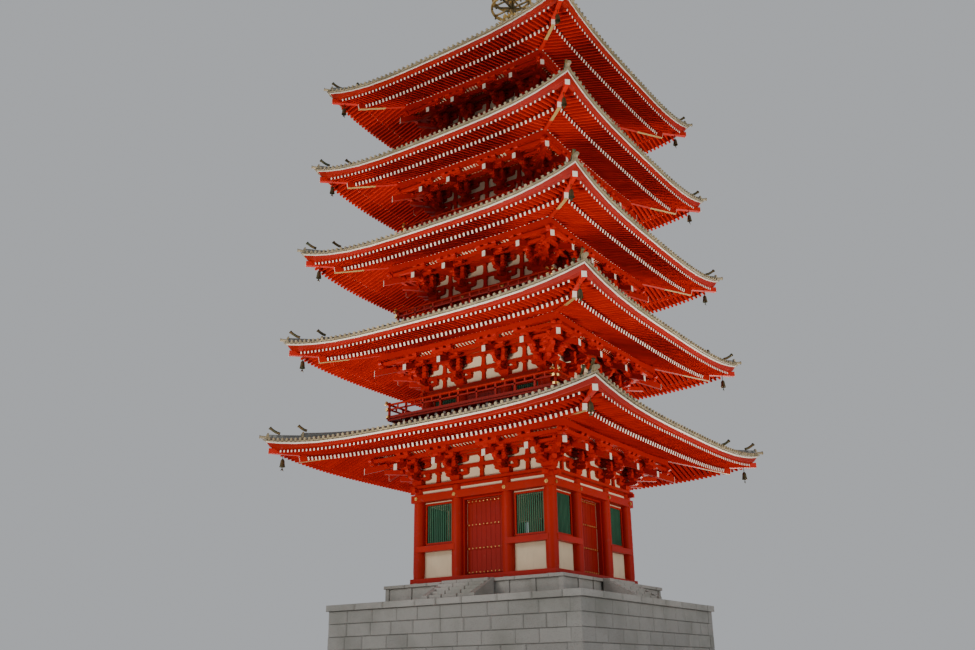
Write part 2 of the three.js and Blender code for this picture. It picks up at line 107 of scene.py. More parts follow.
# The camera at the photograph's viewpoint, in the model's metres; its angles are yaw, pitch and roll
CAMERA_PLACE = (12.98, -20.72, 0.799)
CAMERA_ANGLES = (-34.1716, 20.6098, -0.7126)
CAMERA_LENS = 34.77
CAMERA_SENSOR = 36.0


def real_box(node):
    """A CAD node's lowest and highest corners, in metres of the real building."""
    low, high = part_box(node)
    return low / MODEL_SCALE, high / MODEL_SCALE


class Storey:
    """The sizes of one storey, read from its CAD nodes; heights are above its wall plate's top."""

    def __init__(self, number):
        self.number = number
        self.first = number == STOREYS[0]
        self.top = number == STOREYS[-1]
        frame_low, frame_high = real_box(f"frame_{number}")
        brackets_low, _ = real_box(f"brackets_{number}")
        _, eaves_high = real_box(f"eaves_{number}")
        _, wall_high = real_box(f"wall_{number}")
        self.plate = brackets_low.z + PLATE_DEPTH
        self.body = frame_high.x - BEAM_PROUD
        self.face = self.body + BEAM_PROUD
        self.inner = self.body * MIDDLE_BAY
        self.wall = self.body - WALL_IN
        self.eave = eaves_high.x
        self.floor = frame_low.z - self.plate
        self.sill = self.floor + (0.32 if self.first else 0.18)
        self.head = (-0.84, -0.46) if self.first else (-0.62, -0.36)
        self.seat = 0.0 if self.first else -UPPER_SEAT
        self.wall_top = wall_high.z - self.plate
        self.columns = [-self.body, -self.inner, self.inner, self.body]
        self.bays = [-(self.body + self.inner) / 2, 0.0, (self.body + self.inner) / 2]
        self.rise = EAVE_RISES[number - 1]
        self.mid = EAVE_CORNER - self.rise
        self.drop = RAFTER_DROP * (self.rise - EAVE_RISES[0])
        self.base_end = self.eave - BASE_BACK
        self.flying_end = self.eave - FLYING_BACK
        self.nose = self.eave + NOSE
        self.apex = APEX_HALF if self.top else self.wall + 0.01

    def base(self, half):
        """Underside of the base rafters: (half-width, height, corner rise)."""
        height = RAFTERS_AT_PURLIN - self.drop - RAFTER_SLOPE * (half - self.body - PURLIN_OUT)
        share = (half - self.wall) / (self.base_end - self.wall)
        return half, height, BASE_RISE * share

    def flying(self, half):
        """Underside of the flying rafters: (half-width, height, corner rise)."""
        share = (half - self.base_end) / (self.flying_end - self.base_end)
        _, start, start_rise = self.base(self.base_end)
        height = start + FLYING_STEP + (self.mid - FLYING_BELOW - start - FLYING_STEP) * share
        return half, height, start_rise + (FLYING_RISE_SHARE * self.rise - start_rise) * share

    def roof(self, share):
        """The tile bed: (half-width, height, corner rise) at a share of the way up from the eave."""
        low = self.mid + 0.09
        high = EAVE_CORNER + APEX_RISE if self.top else self.wall_top - 0.05
        straight = 0.58 if self.top else 0.7
        return (
            self.nose + (self.apex - self.nose) * share,
            low + (high - low) * (straight * share + (1 - straight) * share**2),
            self.rise * max(0.0, 1 - share / 0.66) ** 1.4,
        )

    def roof_share(self, half):
        """The share of the way up from the eave at which the tile bed has a half-width."""
        return (half - self.nose) / (self.apex - self.nose)

    def corner(self, out, height):
        """A point over the south-east corner, measured outward from the white board on both axes."""
        return Vector((self.eave + out, -self.eave - out, height))


storeys = [Storey(number) for number in STOREYS]


def on_side(place, x):
    """A point of the south side at distance x along it, at a (half-width, height, corner rise)."""
    half, height, rise = place
    return Vector((x, -half, height + rise * min(1.0, abs(x / half)) ** RISE_POWER))


def raised(place, up, out=0.0):
    """A (half-width, height, corner rise) moved up and outward."""
    half, height, rise = place
    return half + out, height + up, rise


def lifted(level, up):
    """A (height, corner rise) moved up."""
    return level[0] + up, level[1]


def faced(u, v, depth):
    """A point of a plate that stands upright and faces south."""
    return (u, -depth, v)


def moved(outline, u, v):
    """An outline moved sideways and up."""
    return [(x + u, y + v) for x, y in outline]


def wheel(sides, radius, u=0.0, v=0.0):
    """A regular outline round a centre."""
    turns = [2 * math.pi / sides * side for side in range(sides)]
    return [(u + radius * math.cos(turn), v + radius * math.sin(turn)) for turn in turns]


class Shape:
    """Corners, faces and paths of one piece, in real metres."""

    def __init__(self):
        self.corners = []
        self.faces = []
        self.edges = []

    def add(self, corners, faces):
        """Takes in more corners, and the faces that count from the first of them."""
        start = len(self.corners)
        self.corners.extend(Vector(corner) for corner in corners)
        self.faces.extend([start + i for i in face] for face in faces)
        return self

    def box(self, x0, x1, y0, y1, z0, z1):
        """A block between two values on each axis."""
        corners = [(x, y, z) for z in (z0, z1) for y in (y0, y1) for x in (x0, x1)]
        faces = [(0, 2, 3, 1), (4, 5, 7, 6), (0, 1, 5, 4), (1, 3, 7, 5), (3, 2, 6, 7), (2, 0, 4, 6)]
        return self.add(corners, faces)

    def surround(self, opening, outer, y0, y1):
        """Four boxes between an opening and its outer sides, both given as (x0, x1, z0, z1)."""
        (a, b, low, high), (left, right, bottom, top) = opening, outer
        for x0, x1, z0, z1 in (
            (left, right, bottom, low), (left, right, high, top), (left, a, low, high), (b, right, low, high),
        ):
            self.box(x0, x1, y0, y1, z0, z1)
        return self

    def squares(self, levels):
        """A square form that changes width on its way up, from (half-width, height) levels."""
        corners = [
            (x * half, y * half, z) for half, z in levels for x, y in ((-1, -1), (1, -1), (1, 1), (-1, 1))
        ]
        faces = [(3, 2, 1, 0), tuple(range(len(corners) - 4, len(corners)))]
        for level in range(len(levels) - 1):
            a = 4 * level
            faces += [(a + i, a + (i + 1) % 4, a + 4 + (i + 1) % 4, a + 4 + i) for i in range(4)]
        return self.add(corners, faces)

    def plate(self, outline, start, end, put):
        """An outline of (u, v) points made thick; put turns each (u, v, depth) into a point."""
        count = len(outline)
        corners = [put(u, v, depth) for depth in (start, end) for u, v in outline]
        faces = [tuple(range(count)), tuple(range(2 * count - 1, count - 1, -1))]
        for i in range(count):
            j = (i + 1) % count
            faces.append((j, i, i + count, j + count))
        return self.add(corners, faces)

    def lathe(self, profile, sides, centre=(0, 0)):
        """A turned form from (radius, height) points, closed by radius 0 or a return to the first point."""
        rows = []
        for radius, z in profile:
            if rows and (radius, z) == profile[0]:
                rows.append(rows[0])
                continue
            if radius < 1e-6:
                rows.append([len(self.corners)] * sides)
                self.corners.append(Vector((centre[0], centre[1], z)))
                continue
            rows.append(list(range(len(self.corners), len(self.corners) + sides)))
            for i in range(sides):
                angle = 2 * math.pi * (i + 0.5) / sides
                x, y = radius * math.cos(angle), radius * math.sin(angle)
                self.corners.append(Vector((centre[0] + x, centre[1] + y, z)))
        for low, high in zip(rows, rows[1:]):
            for i in range(sides):
                j = (i + 1) % sides
                face = list(dict.fromkeys([low[i], low[j], high[j], high[i]]))
                if len(face) > 2:
                    self.faces.append(face)
        return self

    def collar(self, outline, sides):
        """A turned ring whose section is a closed outline."""
        return self.lathe([*outline, outline[0]], sides)

    def ring(self, outline, steps=1):
        """A closed ring round the building from an outline of (half-width, height, corner rise)."""
        shares = [math.sin(math.pi / 2 * (2 * i / steps - 1)) for i in range(steps)]
        corners = []
        for turn in SIDES:
            spin = Matrix.Rotation(turn, 3, "Z")
            for along in shares:
                corners += [spin @ on_side(place, along * place[0]) for place in outline]
        around, across = 4 * steps, len(outline)
        faces = []
        for i in range(around):
            for j in range(across):
                a, b = i * across + j, i * across + (j + 1) % across
                c, d = (i + 1) % around * across + j, (i + 1) % around * across + (j + 1) % across
                faces.append((a, c, d, b))
        return self.add(corners, faces)

    def curved_ring(self, outline):
        """A ring whose sides rise towards the corners."""
        return self.ring(outline, CURVE_STEPS)

    def band(self, low, low_sides, high, high_sides):
        """A board along the eaves; low and high are (height, corner rise), sides (inner, outer)."""
        inner, outer = low_sides
        upper_inner, upper_outer = high_sides
        return self.curved_ring([(inner, *low), (outer, *low), (upper_outer, *high), (upper_inner, *high)])

    def beam_ring(self, inner, outer, low, high):
        """A ring of square beams, level all round."""
        return self.ring([(inner, low, 0), (outer, low, 0), (outer, high, 0), (inner, high, 0)])

    def line(self, *points):
        """A path that a Geometry Nodes tree sweeps a section along."""
        start = len(self.corners)
        self.corners.extend(Vector(point) for point in points)
        self.edges.extend((start + i, start + i + 1) for i in range(len(points) - 1))
        return self

    def turned(self, turns=SIDES):
        """Copies of this shape, one at each turn about the mast."""
        whole = Shape()
        for turn in turns:
            spin = Matrix.Rotation(turn, 3, "Z")
            start = len(whole.corners)
            whole.corners.extend(spin @ corner for corner in self.corners)
            whole.faces.extend([start + i for i in face] for face in self.faces)
            whole.edges.extend((start + a, start + b) for a, b in self.edges)
        return whole

    def mesh(self, name):
        """The shape as a mesh at the model's scale, its faces turned outward."""
        data = bpy.data.meshes.new(name)
        data.from_pydata([corner * MODEL_SCALE for corner in self.corners], self.edges, self.faces)
        if self.faces:
            form = bmesh.new()
            form.from_mesh(data)
            bmesh.ops.recalc_face_normals(form, faces=form.faces)
            form.to_mesh(data)
            form.free()
        data.update()
        return data


class Places:
    """Points at which a piece is repeated, each with its turn about Z and its size; none is used twice."""

    def __init__(self):
        self.points = {}

    def add(self, point, turn=0.0, size=(1, 1, 1)):
        """Keeps a point, unless one at the same place to the centimetre is kept already."""
        point = Vector(point)
        self.points.setdefault(tuple(round(part, 2) for part in point), (point, turn, tuple(size)))
        return self

    def turned(self, turns=SIDES):
        """Copies of these places, one set at each turn about the mast."""
        whole = Places()
        for turn in turns:
            spin = Matrix.Rotation(turn, 3, "Z")
            for point, own, size in self.points.values():
                whole.add(spin @ point, own + turn, size)
        return whole

    def mesh(self, name):
        """The points as a mesh that carries each one's turn and size."""
        data = bpy.data.meshes.new(name)
        kept = list(self.points.values())
        data.from_pydata([point * MODEL_SCALE for point, _, _ in kept], [], [])
        turns = data.attributes.new("turn", "FLOAT", "POINT")
        turns.data.foreach_set("value", [turn for _, turn, _ in kept])
        sizes = data.attributes.new("size", "FLOAT_VECTOR", "POINT")
        sizes.data.foreach_set("vector", [part for _, _, size in kept for part in size])
        return data


class Graph:
    """A node tree under construction."""

    def __init__(self, tree):
        self.tree = tree

    def node(self, kind, inputs=None, **settings):
        """Makes a node; an input is a plain value or another node's output."""
        made = self.tree.nodes.new(kind)
        for key, value in settings.items():
            setattr(made, key, value)
        for key, value in (inputs or {}).items():
            if isinstance(value, bpy.types.NodeSocket):
                self.tree.links.new(value, made.inputs[key])
            else:
                made.inputs[key].default_value = value
        return made


class Growth(Graph):
    """A Geometry Nodes tree with named inputs, which ends in real geometry with its material."""

    def __init__(self, name, sizes):
        super().__init__(bpy.data.node_groups.new(name, "GeometryNodeTree"))
        face = self.tree.interface
        face.new_socket("Geometry", in_out="INPUT", socket_type="NodeSocketGeometry")
        for label, kind in sizes.items():
            face.new_socket(label, in_out="INPUT", socket_type="NodeSocket" + kind)
        face.new_socket("Seed", in_out="INPUT", socket_type="NodeSocketInt")
        face.new_socket("Material", in_out="INPUT", socket_type="NodeSocketMaterial")
        face.new_socket("Geometry", in_out="OUTPUT", socket_type="NodeSocketGeometry")
        self.given = self.node("NodeGroupInput").outputs

    def tinted(self, geometry, domain):
        """Stores a random shade on each path or instance, for its material."""
        shade = self.node("FunctionNodeRandomValue", {"Seed": self.given["Seed"]}).outputs[1]
        inputs = {"Geometry": geometry, "Name": "tint", "Value": shade}
        return self.node("GeometryNodeStoreNamedAttribute", inputs, domain=domain).outputs[0]

    def end(self, geometry):
        """Closes the tree with real geometry in the given material."""
        real = self.node("GeometryNodeRealizeInstances", {"Geometry": geometry}).outputs[0]
        inputs = {"Geometry": real, "Material": self.given["Material"]}
        painted = self.node("GeometryNodeSetMaterial", inputs).outputs[0]
        self.node("NodeGroupOutput", {0: painted})
        return self.tree


def sweep_tree(name, sizes, section_kind, section_inputs, smooth):
    """A tree that sweeps a section along every path, upright all the way."""
    growth = Growth(name, sizes)
    curve = growth.node("GeometryNodeMeshToCurve", {"Mesh": growth.given["Geometry"]}).outputs[0]
    curve = growth.tinted(curve, "CURVE")
    upright = growth.node("GeometryNodeSetCurveNormal", {"Curve": curve}, mode="Z_UP").outputs[0]
    section = growth.node(section_kind, {key: growth.given[label] for key, label in section_inputs.items()})
    inputs = {"Curve": upright, "Profile Curve": section.outputs[0], "Fill Caps": True}
    swept = growth.node("GeometryNodeCurveToMesh", inputs).outputs[0]
    inputs = {"Geometry": swept, "Shade Smooth": smooth}
    return growth.end(growth.node("GeometryNodeSetShadeSmooth", inputs).outputs[0])


def member_tree():
    """The tree for square timbers."""
    sizes = {"Width": "Float", "Height": "Float"}
    section = {"Width": "Width", "Height": "Height"}
    return sweep_tree("Square member", sizes, "GeometryNodeCurvePrimitiveQuadrilateral", section, False)


def round_tree():
    """The tree for round bars."""
    sizes = {"Radius": "Float", "Sides": "Int"}
    section = {"Radius": "Radius", "Resolution": "Sides"}
    return sweep_tree("Round member", sizes, "GeometryNodeCurvePrimitiveCircle", section, True)


def repeat_tree():
    """A tree that sets a piece at each point, with the point's own turn and size."""
    growth = Growth("Set pieces", {"Piece": "Object"})
    piece = growth.node("GeometryNodeObjectInfo", {"Object": growth.given["Piece"]}).outputs["Geometry"]
    turn = growth.node("GeometryNodeInputNamedAttribute", {"Name": "turn"}, data_type="FLOAT").outputs[0]
    size = growth.node("GeometryNodeInputNamedAttribute", {"Name": "size"}, data_type="FLOAT_VECTOR")
    spin = growth.node("ShaderNodeCombineXYZ", {"Z": turn}).outputs[0]
    inputs = {"Points": growth.given["Geometry"], "Instance": piece, "Rotation": spin}
    inputs["Scale"] = size.outputs[0]
    placed = growth.node("GeometryNodeInstanceOnPoints", inputs).outputs[0]
    return growth.end(growth.tinted(placed, "INSTANCE"))


TREES = {}


def tree(name):
    """The named tree, made when it is first used."""
    if name not in TREES:
        TREES[name] = {"member": member_tree, "round": round_tree, "repeat": repeat_tree}[name]()
    return TREES[name]


def grow(name, source, kind, look, seed=0, **sizes):
    """Runs a tree on a shape's paths or points and keeps the result as a plain mesh."""
    source_object = bpy.data.objects.new(name + "_source", source.mesh(name + "_source"))
    bpy.context.scene.collection.objects.link(source_object)
    modifier = source_object.modifiers.new("Growth", "NODES")
    modifier.node_group = tree(kind)
    values = {key.capitalize(): value for key, value in sizes.items()}
    values |= {"Seed": seed, "Material": finish(look)}
    for socket in modifier.node_group.interface.items_tree:
        if socket.in_out == "INPUT" and socket.name in values:
            value = values[socket.name]
            modifier[socket.identifier] = value * MODEL_SCALE if isinstance(value, float) else value
    depsgraph = bpy.context.evaluated_depsgraph_get()
    evaluated = source_object.evaluated_get(depsgraph)
    made = bpy.data.meshes.new_from_object(evaluated, preserve_all_data_layers=True, depsgraph=depsgraph)
    source_object.modifiers.clear()
    bpy.data.objects.remove(source_object)
    if not made.polygons:
        raise RuntimeError(name + " came out empty")
    return made


def members(name, paths, look, width, height, seed=0):
    """Square timbers along a shape's paths."""
    return grow(name, paths, "member", look, seed, width=float(width), height=float(height))


def rounds(name, paths, look, radius, sides=8, seed=0):
    """Round bars along a shape's paths."""
    return grow(name, paths, "round", look, seed, radius=float(radius), sides=sides)


def repeats(name, places, template, look, seed=0):
    """A template set at each of the places."""
    piece = bpy.data.objects.new(name + "_piece", template.mesh(name + "_piece"))
    piece.data.materials.append(finish(look))
    bpy.context.scene.collection.objects.link(piece)
    made = grow(name, places, "repeat", look, seed, piece=piece)
    bpy.data.objects.remove(piece)
    return made


def solid(name, shape, look, smooth_angle=None):
    """A shape's own mesh with its finish, smooth where its faces meet gently."""
    made = shape.mesh(name)
    made.materials.append(finish(look))
    if smooth_angle:
        made.shade_smooth()
        made.set_sharp_from_angle(angle=math.radians(smooth_angle))
    return made


def show(name, meshes, nodes, level=0.0):
    """Raises meshes to a level and joins them into one piece that stands for its CAD nodes."""
    whole = bmesh.new()
    finishes = []
    for made in meshes:
        made.transform(Matrix.Translation((0, 0, level * MODEL_SCALE)))
        start = len(whole.faces)
        whole.from_mesh(made)
        whole.faces.ensure_lookup_table()
        look = made.materials[0]
        if look is None:
            raise RuntimeError(f"{name}: {made.name} has no finish")
        if look not in finishes:
            finishes.append(look)
        for face in whole.faces[start:]:
            face.material_index = finishes.index(look)
        bpy.data.meshes.remove(made)
    data = bpy.data.meshes.new(name)
    whole.to_mesh(data)
    whole.free()
    for look in finishes:
        data.materials.append(look)
    piece = bpy.data.objects.new(name, data)
    bpy.context.scene.collection.objects.link(piece)
    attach(piece, "root")
    if nodes:
        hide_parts(*nodes)


def show_storey(name, s, meshes, slot, *nodes):
    """Shows one storey's piece, whose meshes are drawn from its wall plate's top."""
    names = [f"{node}_{s.number}" for node in nodes]
    show(f"{name}_{s.number}", meshes, names, s.plate)


def toned(colour, share):
    """A colour made darker or lighter."""
    return [part * share for part in colour]


class Finish(Graph):
    """A procedural material whose patterns are laid out in metres of the real building."""

    def __init__(self, name, roughness, metallic=0.0):
        self.material = bpy.data.materials.new(name)
        self.material.use_nodes = True
        super().__init__(self.material.node_tree)
        self.shader = self.tree.nodes["Principled BSDF"]
        self.shader.inputs["Roughness"].default_value = roughness
        self.shader.inputs["Metallic"].default_value = metallic
        spot = self.node("ShaderNodeTexCoord").outputs["Object"]
        scale = (1 / MODEL_SCALE,) * 3
        self.place = self.node("ShaderNodeMapping", {"Vector": spot, "Scale": scale}).outputs[0]
        self.tint = self.node("ShaderNodeAttribute", attribute_name="tint").outputs["Fac"]

    def maths(self, operation, a, b=0.0):
        """One sum on two values or outputs."""
        return self.node("ShaderNodeMath", {0: a, 1: b}, operation=operation).outputs[0]

    def stretched(self, x, y, z):
        """The place with each axis scaled, so that a small number draws a pattern out along it."""
        return self.node("ShaderNodeMapping", {"Vector": self.place, "Scale": (x, y, z)}).outputs[0]

    def noise(self, scale, detail=4.0, place=None):
        """Cloudy noise between 0 and 1, with scale counted per metre."""
        inputs = {"Vector": place or self.place, "Scale": scale, "Detail": detail}
        return self.node("ShaderNodeTexNoise", inputs).outputs[0]

    def span(self, value, low, high, to_low=0.0, to_high=1.0):
        """A value between low and high brought between two others, and held at its ends."""
        inputs = {"Value": value, 1: low, 2: high, 3: to_low, 4: to_high}
        return self.node("ShaderNodeMapRange", inputs).outputs[0]

    def mix(self, factor, a, b):
        """One colour blended into another."""
        colours = [tuple(c) + (1,) if not isinstance(c, bpy.types.NodeSocket) else c for c in (a, b)]
        inputs = {0: factor, 6: colours[0], 7: colours[1]}
        return self.node("ShaderNodeMix", inputs, data_type="RGBA").outputs[2]

    def shades(self, colour, spread=0.12):
        """A colour that differs a little from one board, block or tile to the next."""
        dark, light = (toned(colour, 1 + way * spread) for way in (-1, 1))
        return self.mix(self.tint, dark, light)

    def bump(self, height, distance, below=None):
        """Relief of a depth in metres, over the relief below it."""
        inputs = {"Height": height, "Distance": distance * MODEL_SCALE, "Strength": 1.0}
        if below:
            inputs["Normal"] = below
        return self.node("ShaderNodeBump", inputs).outputs[0]

    def done(self, colour, roughness=None, normal=None):
        """Joins the finished patterns to the shader and gives the material."""
        for key, socket in (("Base Color", colour), ("Roughness", roughness), ("Normal", normal)):
            if socket:
                self.tree.links.new(socket, self.shader.inputs[key])
        return self.material


def painted_timber(name, colour, roughness=0.42, worn=(0.30, 0.05, 0.03), faded=0.55, sheen=0.15):
    """Paint over planed timber: shades from board to board, rain fade, small chips and fine grain."""
    look = Finish(name, roughness)
    look.shader.inputs["Specular IOR Level"].default_value = sheen
    broad = look.noise(0.9, 3.0)
    fine = look.noise(38.0, 5.0)
    grain = look.noise(9.0, 5.0, look.stretched(7, 7, 1.2))
    fade = look.span(broad, 0.42, 0.72, 0.0, faded)
    aged = look.mix(fade, look.shades(colour), toned(colour, 0.72))
    chips = look.span(look.maths("MULTIPLY", fine, look.noise(4.2, 2.0)), 0.37, 0.43)
    paint = look.mix(chips, aged, worn)
    gloss = look.span(fine, 0.3, 0.75, roughness - 0.08, roughness + 0.22)
    normal = look.bump(fine, 0.0015, look.bump(grain, 0.0035))
    return look.done(paint, gloss, normal)


def lime_plaster(name, colour):
    """Trowelled lime plaster: soft patches, a fine sandy face and grey where the rain runs."""
    look = Finish(name, 0.9)
    patches = look.noise(1.6, 5.0)
    runs = look.noise(3.0, 4.0, look.stretched(2.2, 2.2, 0.25))
    sand = look.noise(120.0, 3.0)
    shade = look.mix(look.span(patches, 0.35, 0.7), colour, toned(colour, 0.9))
    shade = look.mix(look.span(runs, 0.55, 0.78, 0.0, 0.55), shade, toned(colour, 0.74))
    normal = look.bump(sand, 0.002, look.bump(look.noise(5.0, 2.0), 0.006))
    return look.done(shade, look.span(sand, 0.3, 0.7, 0.8, 0.97), normal)


def roof_tile(name, colour, spacing, course):
    """Fired grey tile: each tile's own shade, a dark joint at each course, lichen and a low sheen."""
    look = Finish(name, 0.5)
    split = look.node("ShaderNodeSeparateXYZ", {"Vector": look.place}).outputs
    x, y = (look.maths("ABSOLUTE", part) for part in (split[0], split[1]))
    out = look.maths("DIVIDE", look.maths("MAXIMUM", x, y), course)
    along = look.maths("DIVIDE", look.maths("MINIMUM", x, y), spacing / 2)
    cells = {"X": look.maths("FLOOR", out), "Y": look.maths("FLOOR", along)}
    cells["Z"] = look.maths("FLOOR", look.maths("DIVIDE", split[2], STOREY_PITCH))
    cell = look.node("ShaderNodeCombineXYZ", cells).outputs[0]
    own = look.node("ShaderNodeTexWhiteNoise", {"Vector": cell}, noise_dimensions="3D").outputs["Value"]
    step = look.maths("FRACT", out)
    joint = look.maths("SUBTRACT", 1.0, look.span(step, 0.0, 0.1))
    shade = look.mix(own, toned(colour, 0.72), toned(colour, 1.35))
    lichen = look.span(look.maths("MULTIPLY", look.noise(2.1, 6.0), look.noise(23.0, 4.0)), 0.29, 0.4)
    shade = look.mix(lichen, shade, (0.20, 0.23, 0.15))
    shade = look.mix(look.maths("MULTIPLY", joint, 0.8), shade, toned(colour, 0.3))
    normal = look.bump(step, 0.018)
    normal = look.bump(look.noise(60.0, 4.0), 0.002, normal)
    return look.done(shade, look.span(own, 0.0, 1.0, 0.38, 0.62), normal)


def ridge_tile(name, colour):
    """The flat and round tiles of ridges and eave ends, marked by lime stains and grime."""
    look = Finish(name, 0.5)
    shade = look.shades(colour, 0.3)
    stains = look.span(look.noise(6.0, 5.0), 0.55, 0.72, 0.0, 0.5)
    shade = look.mix(stains, shade, (0.33, 0.34, 0.31))
    grime = look.span(look.noise(1.3, 4.0), 0.35, 0.6, 0.6, 0.0)
    shade = look.mix(grime, shade, toned(colour, 0.5))
    normal = look.bump(look.noise(45.0, 5.0), 0.003)
    return look.done(shade, look.span(look.noise(14.0), 0.3, 0.7, 0.36, 0.62), normal)


def metal(name, colour, roughness, tarnish, amount):
    """Cast or beaten metal, bright where it is rubbed and dull in patches."""
    look = Finish(name, roughness, 1.0)
    patches = look.noise(3.4, 6.0)
    pits = look.noise(55.0, 4.0)
    runs = look.noise(4.0, 5.0, look.stretched(3, 3, 0.3))
    shade = look.mix(look.span(patches, 0.42, 0.66, 0.0, amount), colour, tarnish)
    shade = look.mix(look.span(runs, 0.56, 0.74, 0.0, amount), shade, toned(tarnish, 0.55))
    gloss = look.span(patches, 0.3, 0.7, roughness - 0.07, roughness + 0.25)
    normal = look.bump(pits, 0.002)
    return look.done(shade, gloss, look.bump(patches, 0.006, normal))


def granite(name, colour, rough):
    """Speckled granite, hammered on walls and smoother on treads, grey-green where it stays damp."""
    look = Finish(name, 0.8)
    speckle = look.node("ShaderNodeTexVoronoi", {"Vector": look.place, "Scale": 85.0}).outputs["Color"]
    grey = look.node("ShaderNodeRGBToBW", {"Color": speckle}).outputs[0]
    shade = look.mix(look.span(grey, 0.2, 0.8), look.shades(toned(colour, 0.8), 0.2), colour)
    shade = look.mix(look.span(grey, 0.8, 0.9), shade, (0.09, 0.09, 0.09))
    damp = look.span(look.noise(0.55, 6.0), 0.45, 0.7, 0.0, 0.6)
    shade = look.mix(damp, shade, (0.20, 0.20, 0.165))
    normal = look.bump(look.noise(7.0, 6.0), 0.012 * rough)
    normal = look.bump(look.noise(70.0, 4.0), 0.004 * rough, normal)
    return look.done(shade, look.span(grey, 0.1, 0.9, 0.66, 0.92), normal)


def studio_floor(name, colour):
    """A pale matt floor with a slow drift of tone."""
    look = Finish(name, 0.75)
    drift = look.span(look.noise(0.12, 3.0), 0.3, 0.7)
    return look.done(look.mix(drift, colour, toned(colour, 0.95)))


FINISHES = {}


def finish(name):
    """The named finish, made from the colours in the sidebar when it is first used."""
    if name in FINISHES:
        return FINISHES[name]
    colours, sizes = bpy.context.scene.pagoda_colours, bpy.context.scene.pagoda_sizes
    red = colours.vermilion
    makers = {
        "vermilion": lambda: painted_timber("Vermilion paint", red),
        "deep_red": lambda: painted_timber("Deep red paint", toned(red, 0.78)),
        # The fascia paint is the vermilion darkened to seven tenths: painted shade that tones down the strong
        # light falling on the fascia.
        "fascia_red_painted_shade": lambda: painted_timber("Fascia paint", toned(red, 0.7), 0.5),
        "rafter_red": lambda: painted_timber("Rafter paint", red, 0.8, sheen=0.0),
        # The soffit paint is the vermilion darkened to four tenths: painted shade for the deep gaps between
        # the rafters.
        "soffit_red_painted_shade": lambda: painted_timber("Soffit paint", toned(red, 0.4), 0.8, sheen=0.0),
        # The batten's near-black paint is painted shadow: the dark line under the tile edge.
        "painted_shadow_batten": lambda: painted_timber("Dark batten", (0.05, 0.03, 0.02), 0.7, (0.1, 0.07, 0.05)),
        "white": lambda: painted_timber("White end paint", colours.white, 0.6, (0.42, 0.33, 0.26), 0.25),
        "green": lambda: painted_timber("Green bar paint", colours.green, 0.5, (0.10, 0.09, 0.06)),
        "ochre": lambda: painted_timber("Ochre end paint", colours.ochre, 0.5, (0.2, 0.12, 0.04)),
        "plaster": lambda: lime_plaster("Lime plaster", colours.plaster),
        "tile": lambda: roof_tile("Roof tile", colours.tile, sizes.tile_spacing, sizes.tile_course),
        "ridge": lambda: ridge_tile("Ridge tile", colours.tile),
        "end_tile": lambda: ridge_tile("Eave end tile", colours.end_tile),
        "gilt": lambda: metal("Gilt metal", colours.gilt, 0.3, (0.42, 0.27, 0.09), 0.55),
        "bronze": lambda: metal("Aged bronze", colours.bronze, 0.42, (0.10, 0.13, 0.09), 0.75),
        "patina": lambda: metal("Bell patina", toned(colours.bronze, 0.4), 0.55, (0.08, 0.11, 0.07), 0.9),
        "stone": lambda: granite("Rough granite", colours.stone, 1.0),
        "dressed": lambda: granite("Dressed granite", toned(colours.stone, 1.12), 0.35),
        "floor": lambda: studio_floor("Pale studio floor", colours.floor),
    }
    FINISHES[name] = makers[name]()
    return FINISHES[name]


# Stonework
STONE_FACE = ((-0.5, -0.5), (0.5, -0.5), (0.5, 0.5), (-0.5, 0.5))


def stone_block():
    """A unit stone with its outer face standing a little proud inside a chamfer."""
    shape = Shape()
    rings = [(0.5, 0.5), (0.5, -0.44), (0.455, -0.5)]
    corners = [(x * 2 * half, y, z * 2 * half) for half, y in rings for x, z in STONE_FACE]
    faces = [(0, 1, 2, 3), (11, 10, 9, 8)]
    for a in (0, 4):
        faces += [(a + i, a + 4 + i, a + 4 + (i + 1) % 4, a + (i + 1) % 4) for i in range(4)]
    return shape.add(corners, faces)


def stone_course(places, half, low, high, thick, longest, dice):
    """One course of stones that laps round the four corners."""
    x = -half
    end = half - thick
    while x < end - 1e-3:
        length = longest * dice.uniform(0.62, 1.0)
        if end - x - length < longest * 0.45:
            length = end - x
        centre = (x + length / 2, -half + thick / 2, (low + high) / 2)
        places.add(centre, 0.0, (length - 0.012, thick, high - low - 0.012))
        x += length


def paving(places, half, hole, top, wanted):
    """Square flags laid flat between an inner and an outer square."""
    count = round(2 * half / wanted)
    pitch = 2 * half / count
    for i in range(count):
        for j in range(count):
            x, y = (-half + pitch * (n + 0.5) for n in (i, j))
            if max(abs(x), abs(y)) > hole - pitch / 2:
                places.add((x, y, top - 0.03), 0.0, (pitch - 0.014, pitch - 0.014, 0.06))


def flag_stone():
    """A unit paving flag with a slight chamfer."""
    return Shape().squares([(0.5, -0.5), (0.5, 0.25), (0.485, 0.5)])


def build_plinth():
    """The plinth's courses of stone, which lap at the corners, its coping and the flags on top."""
    _, high = real_box("plinth")
    _, podium_high = real_box("podium")
    dice = random.Random(4)
    out, top = high.x, high.z
    coping, lap, courses = 0.3, 0.12, 8
    half = out - lap
    each = (top - coping) / courses
    stones, caps, flags = Places(), Places(), Places()
    for course in range(courses):
        lapped = course % 2
        one = Places()
        stone_course(one, half, each * course, each * (course + 1), 0.5 if lapped else 0.7, 1.7, dice)
        stones.points.update(one.turned([-turn if lapped else turn for turn in SIDES]).points)
    stone_course(caps, out, top - coping, top, 0.9, 1.9, dice)
    paving(flags, half - 0.72, podium_high.x, top, 0.86)
    core = Shape().squares([(half - 0.08, 0.0), (half - 0.08, top - 0.05)])
    meshes = [
        solid("core", core, "stone"),
        repeats("stones", stones, stone_block(), "stone", 1),
        repeats("caps", caps.turned(), stone_block(), "dressed", 2),
        repeats("flags", flags, flag_stone(), "dressed", 3),
    ]
    show("plinth_masonry", meshes, ["plinth"])


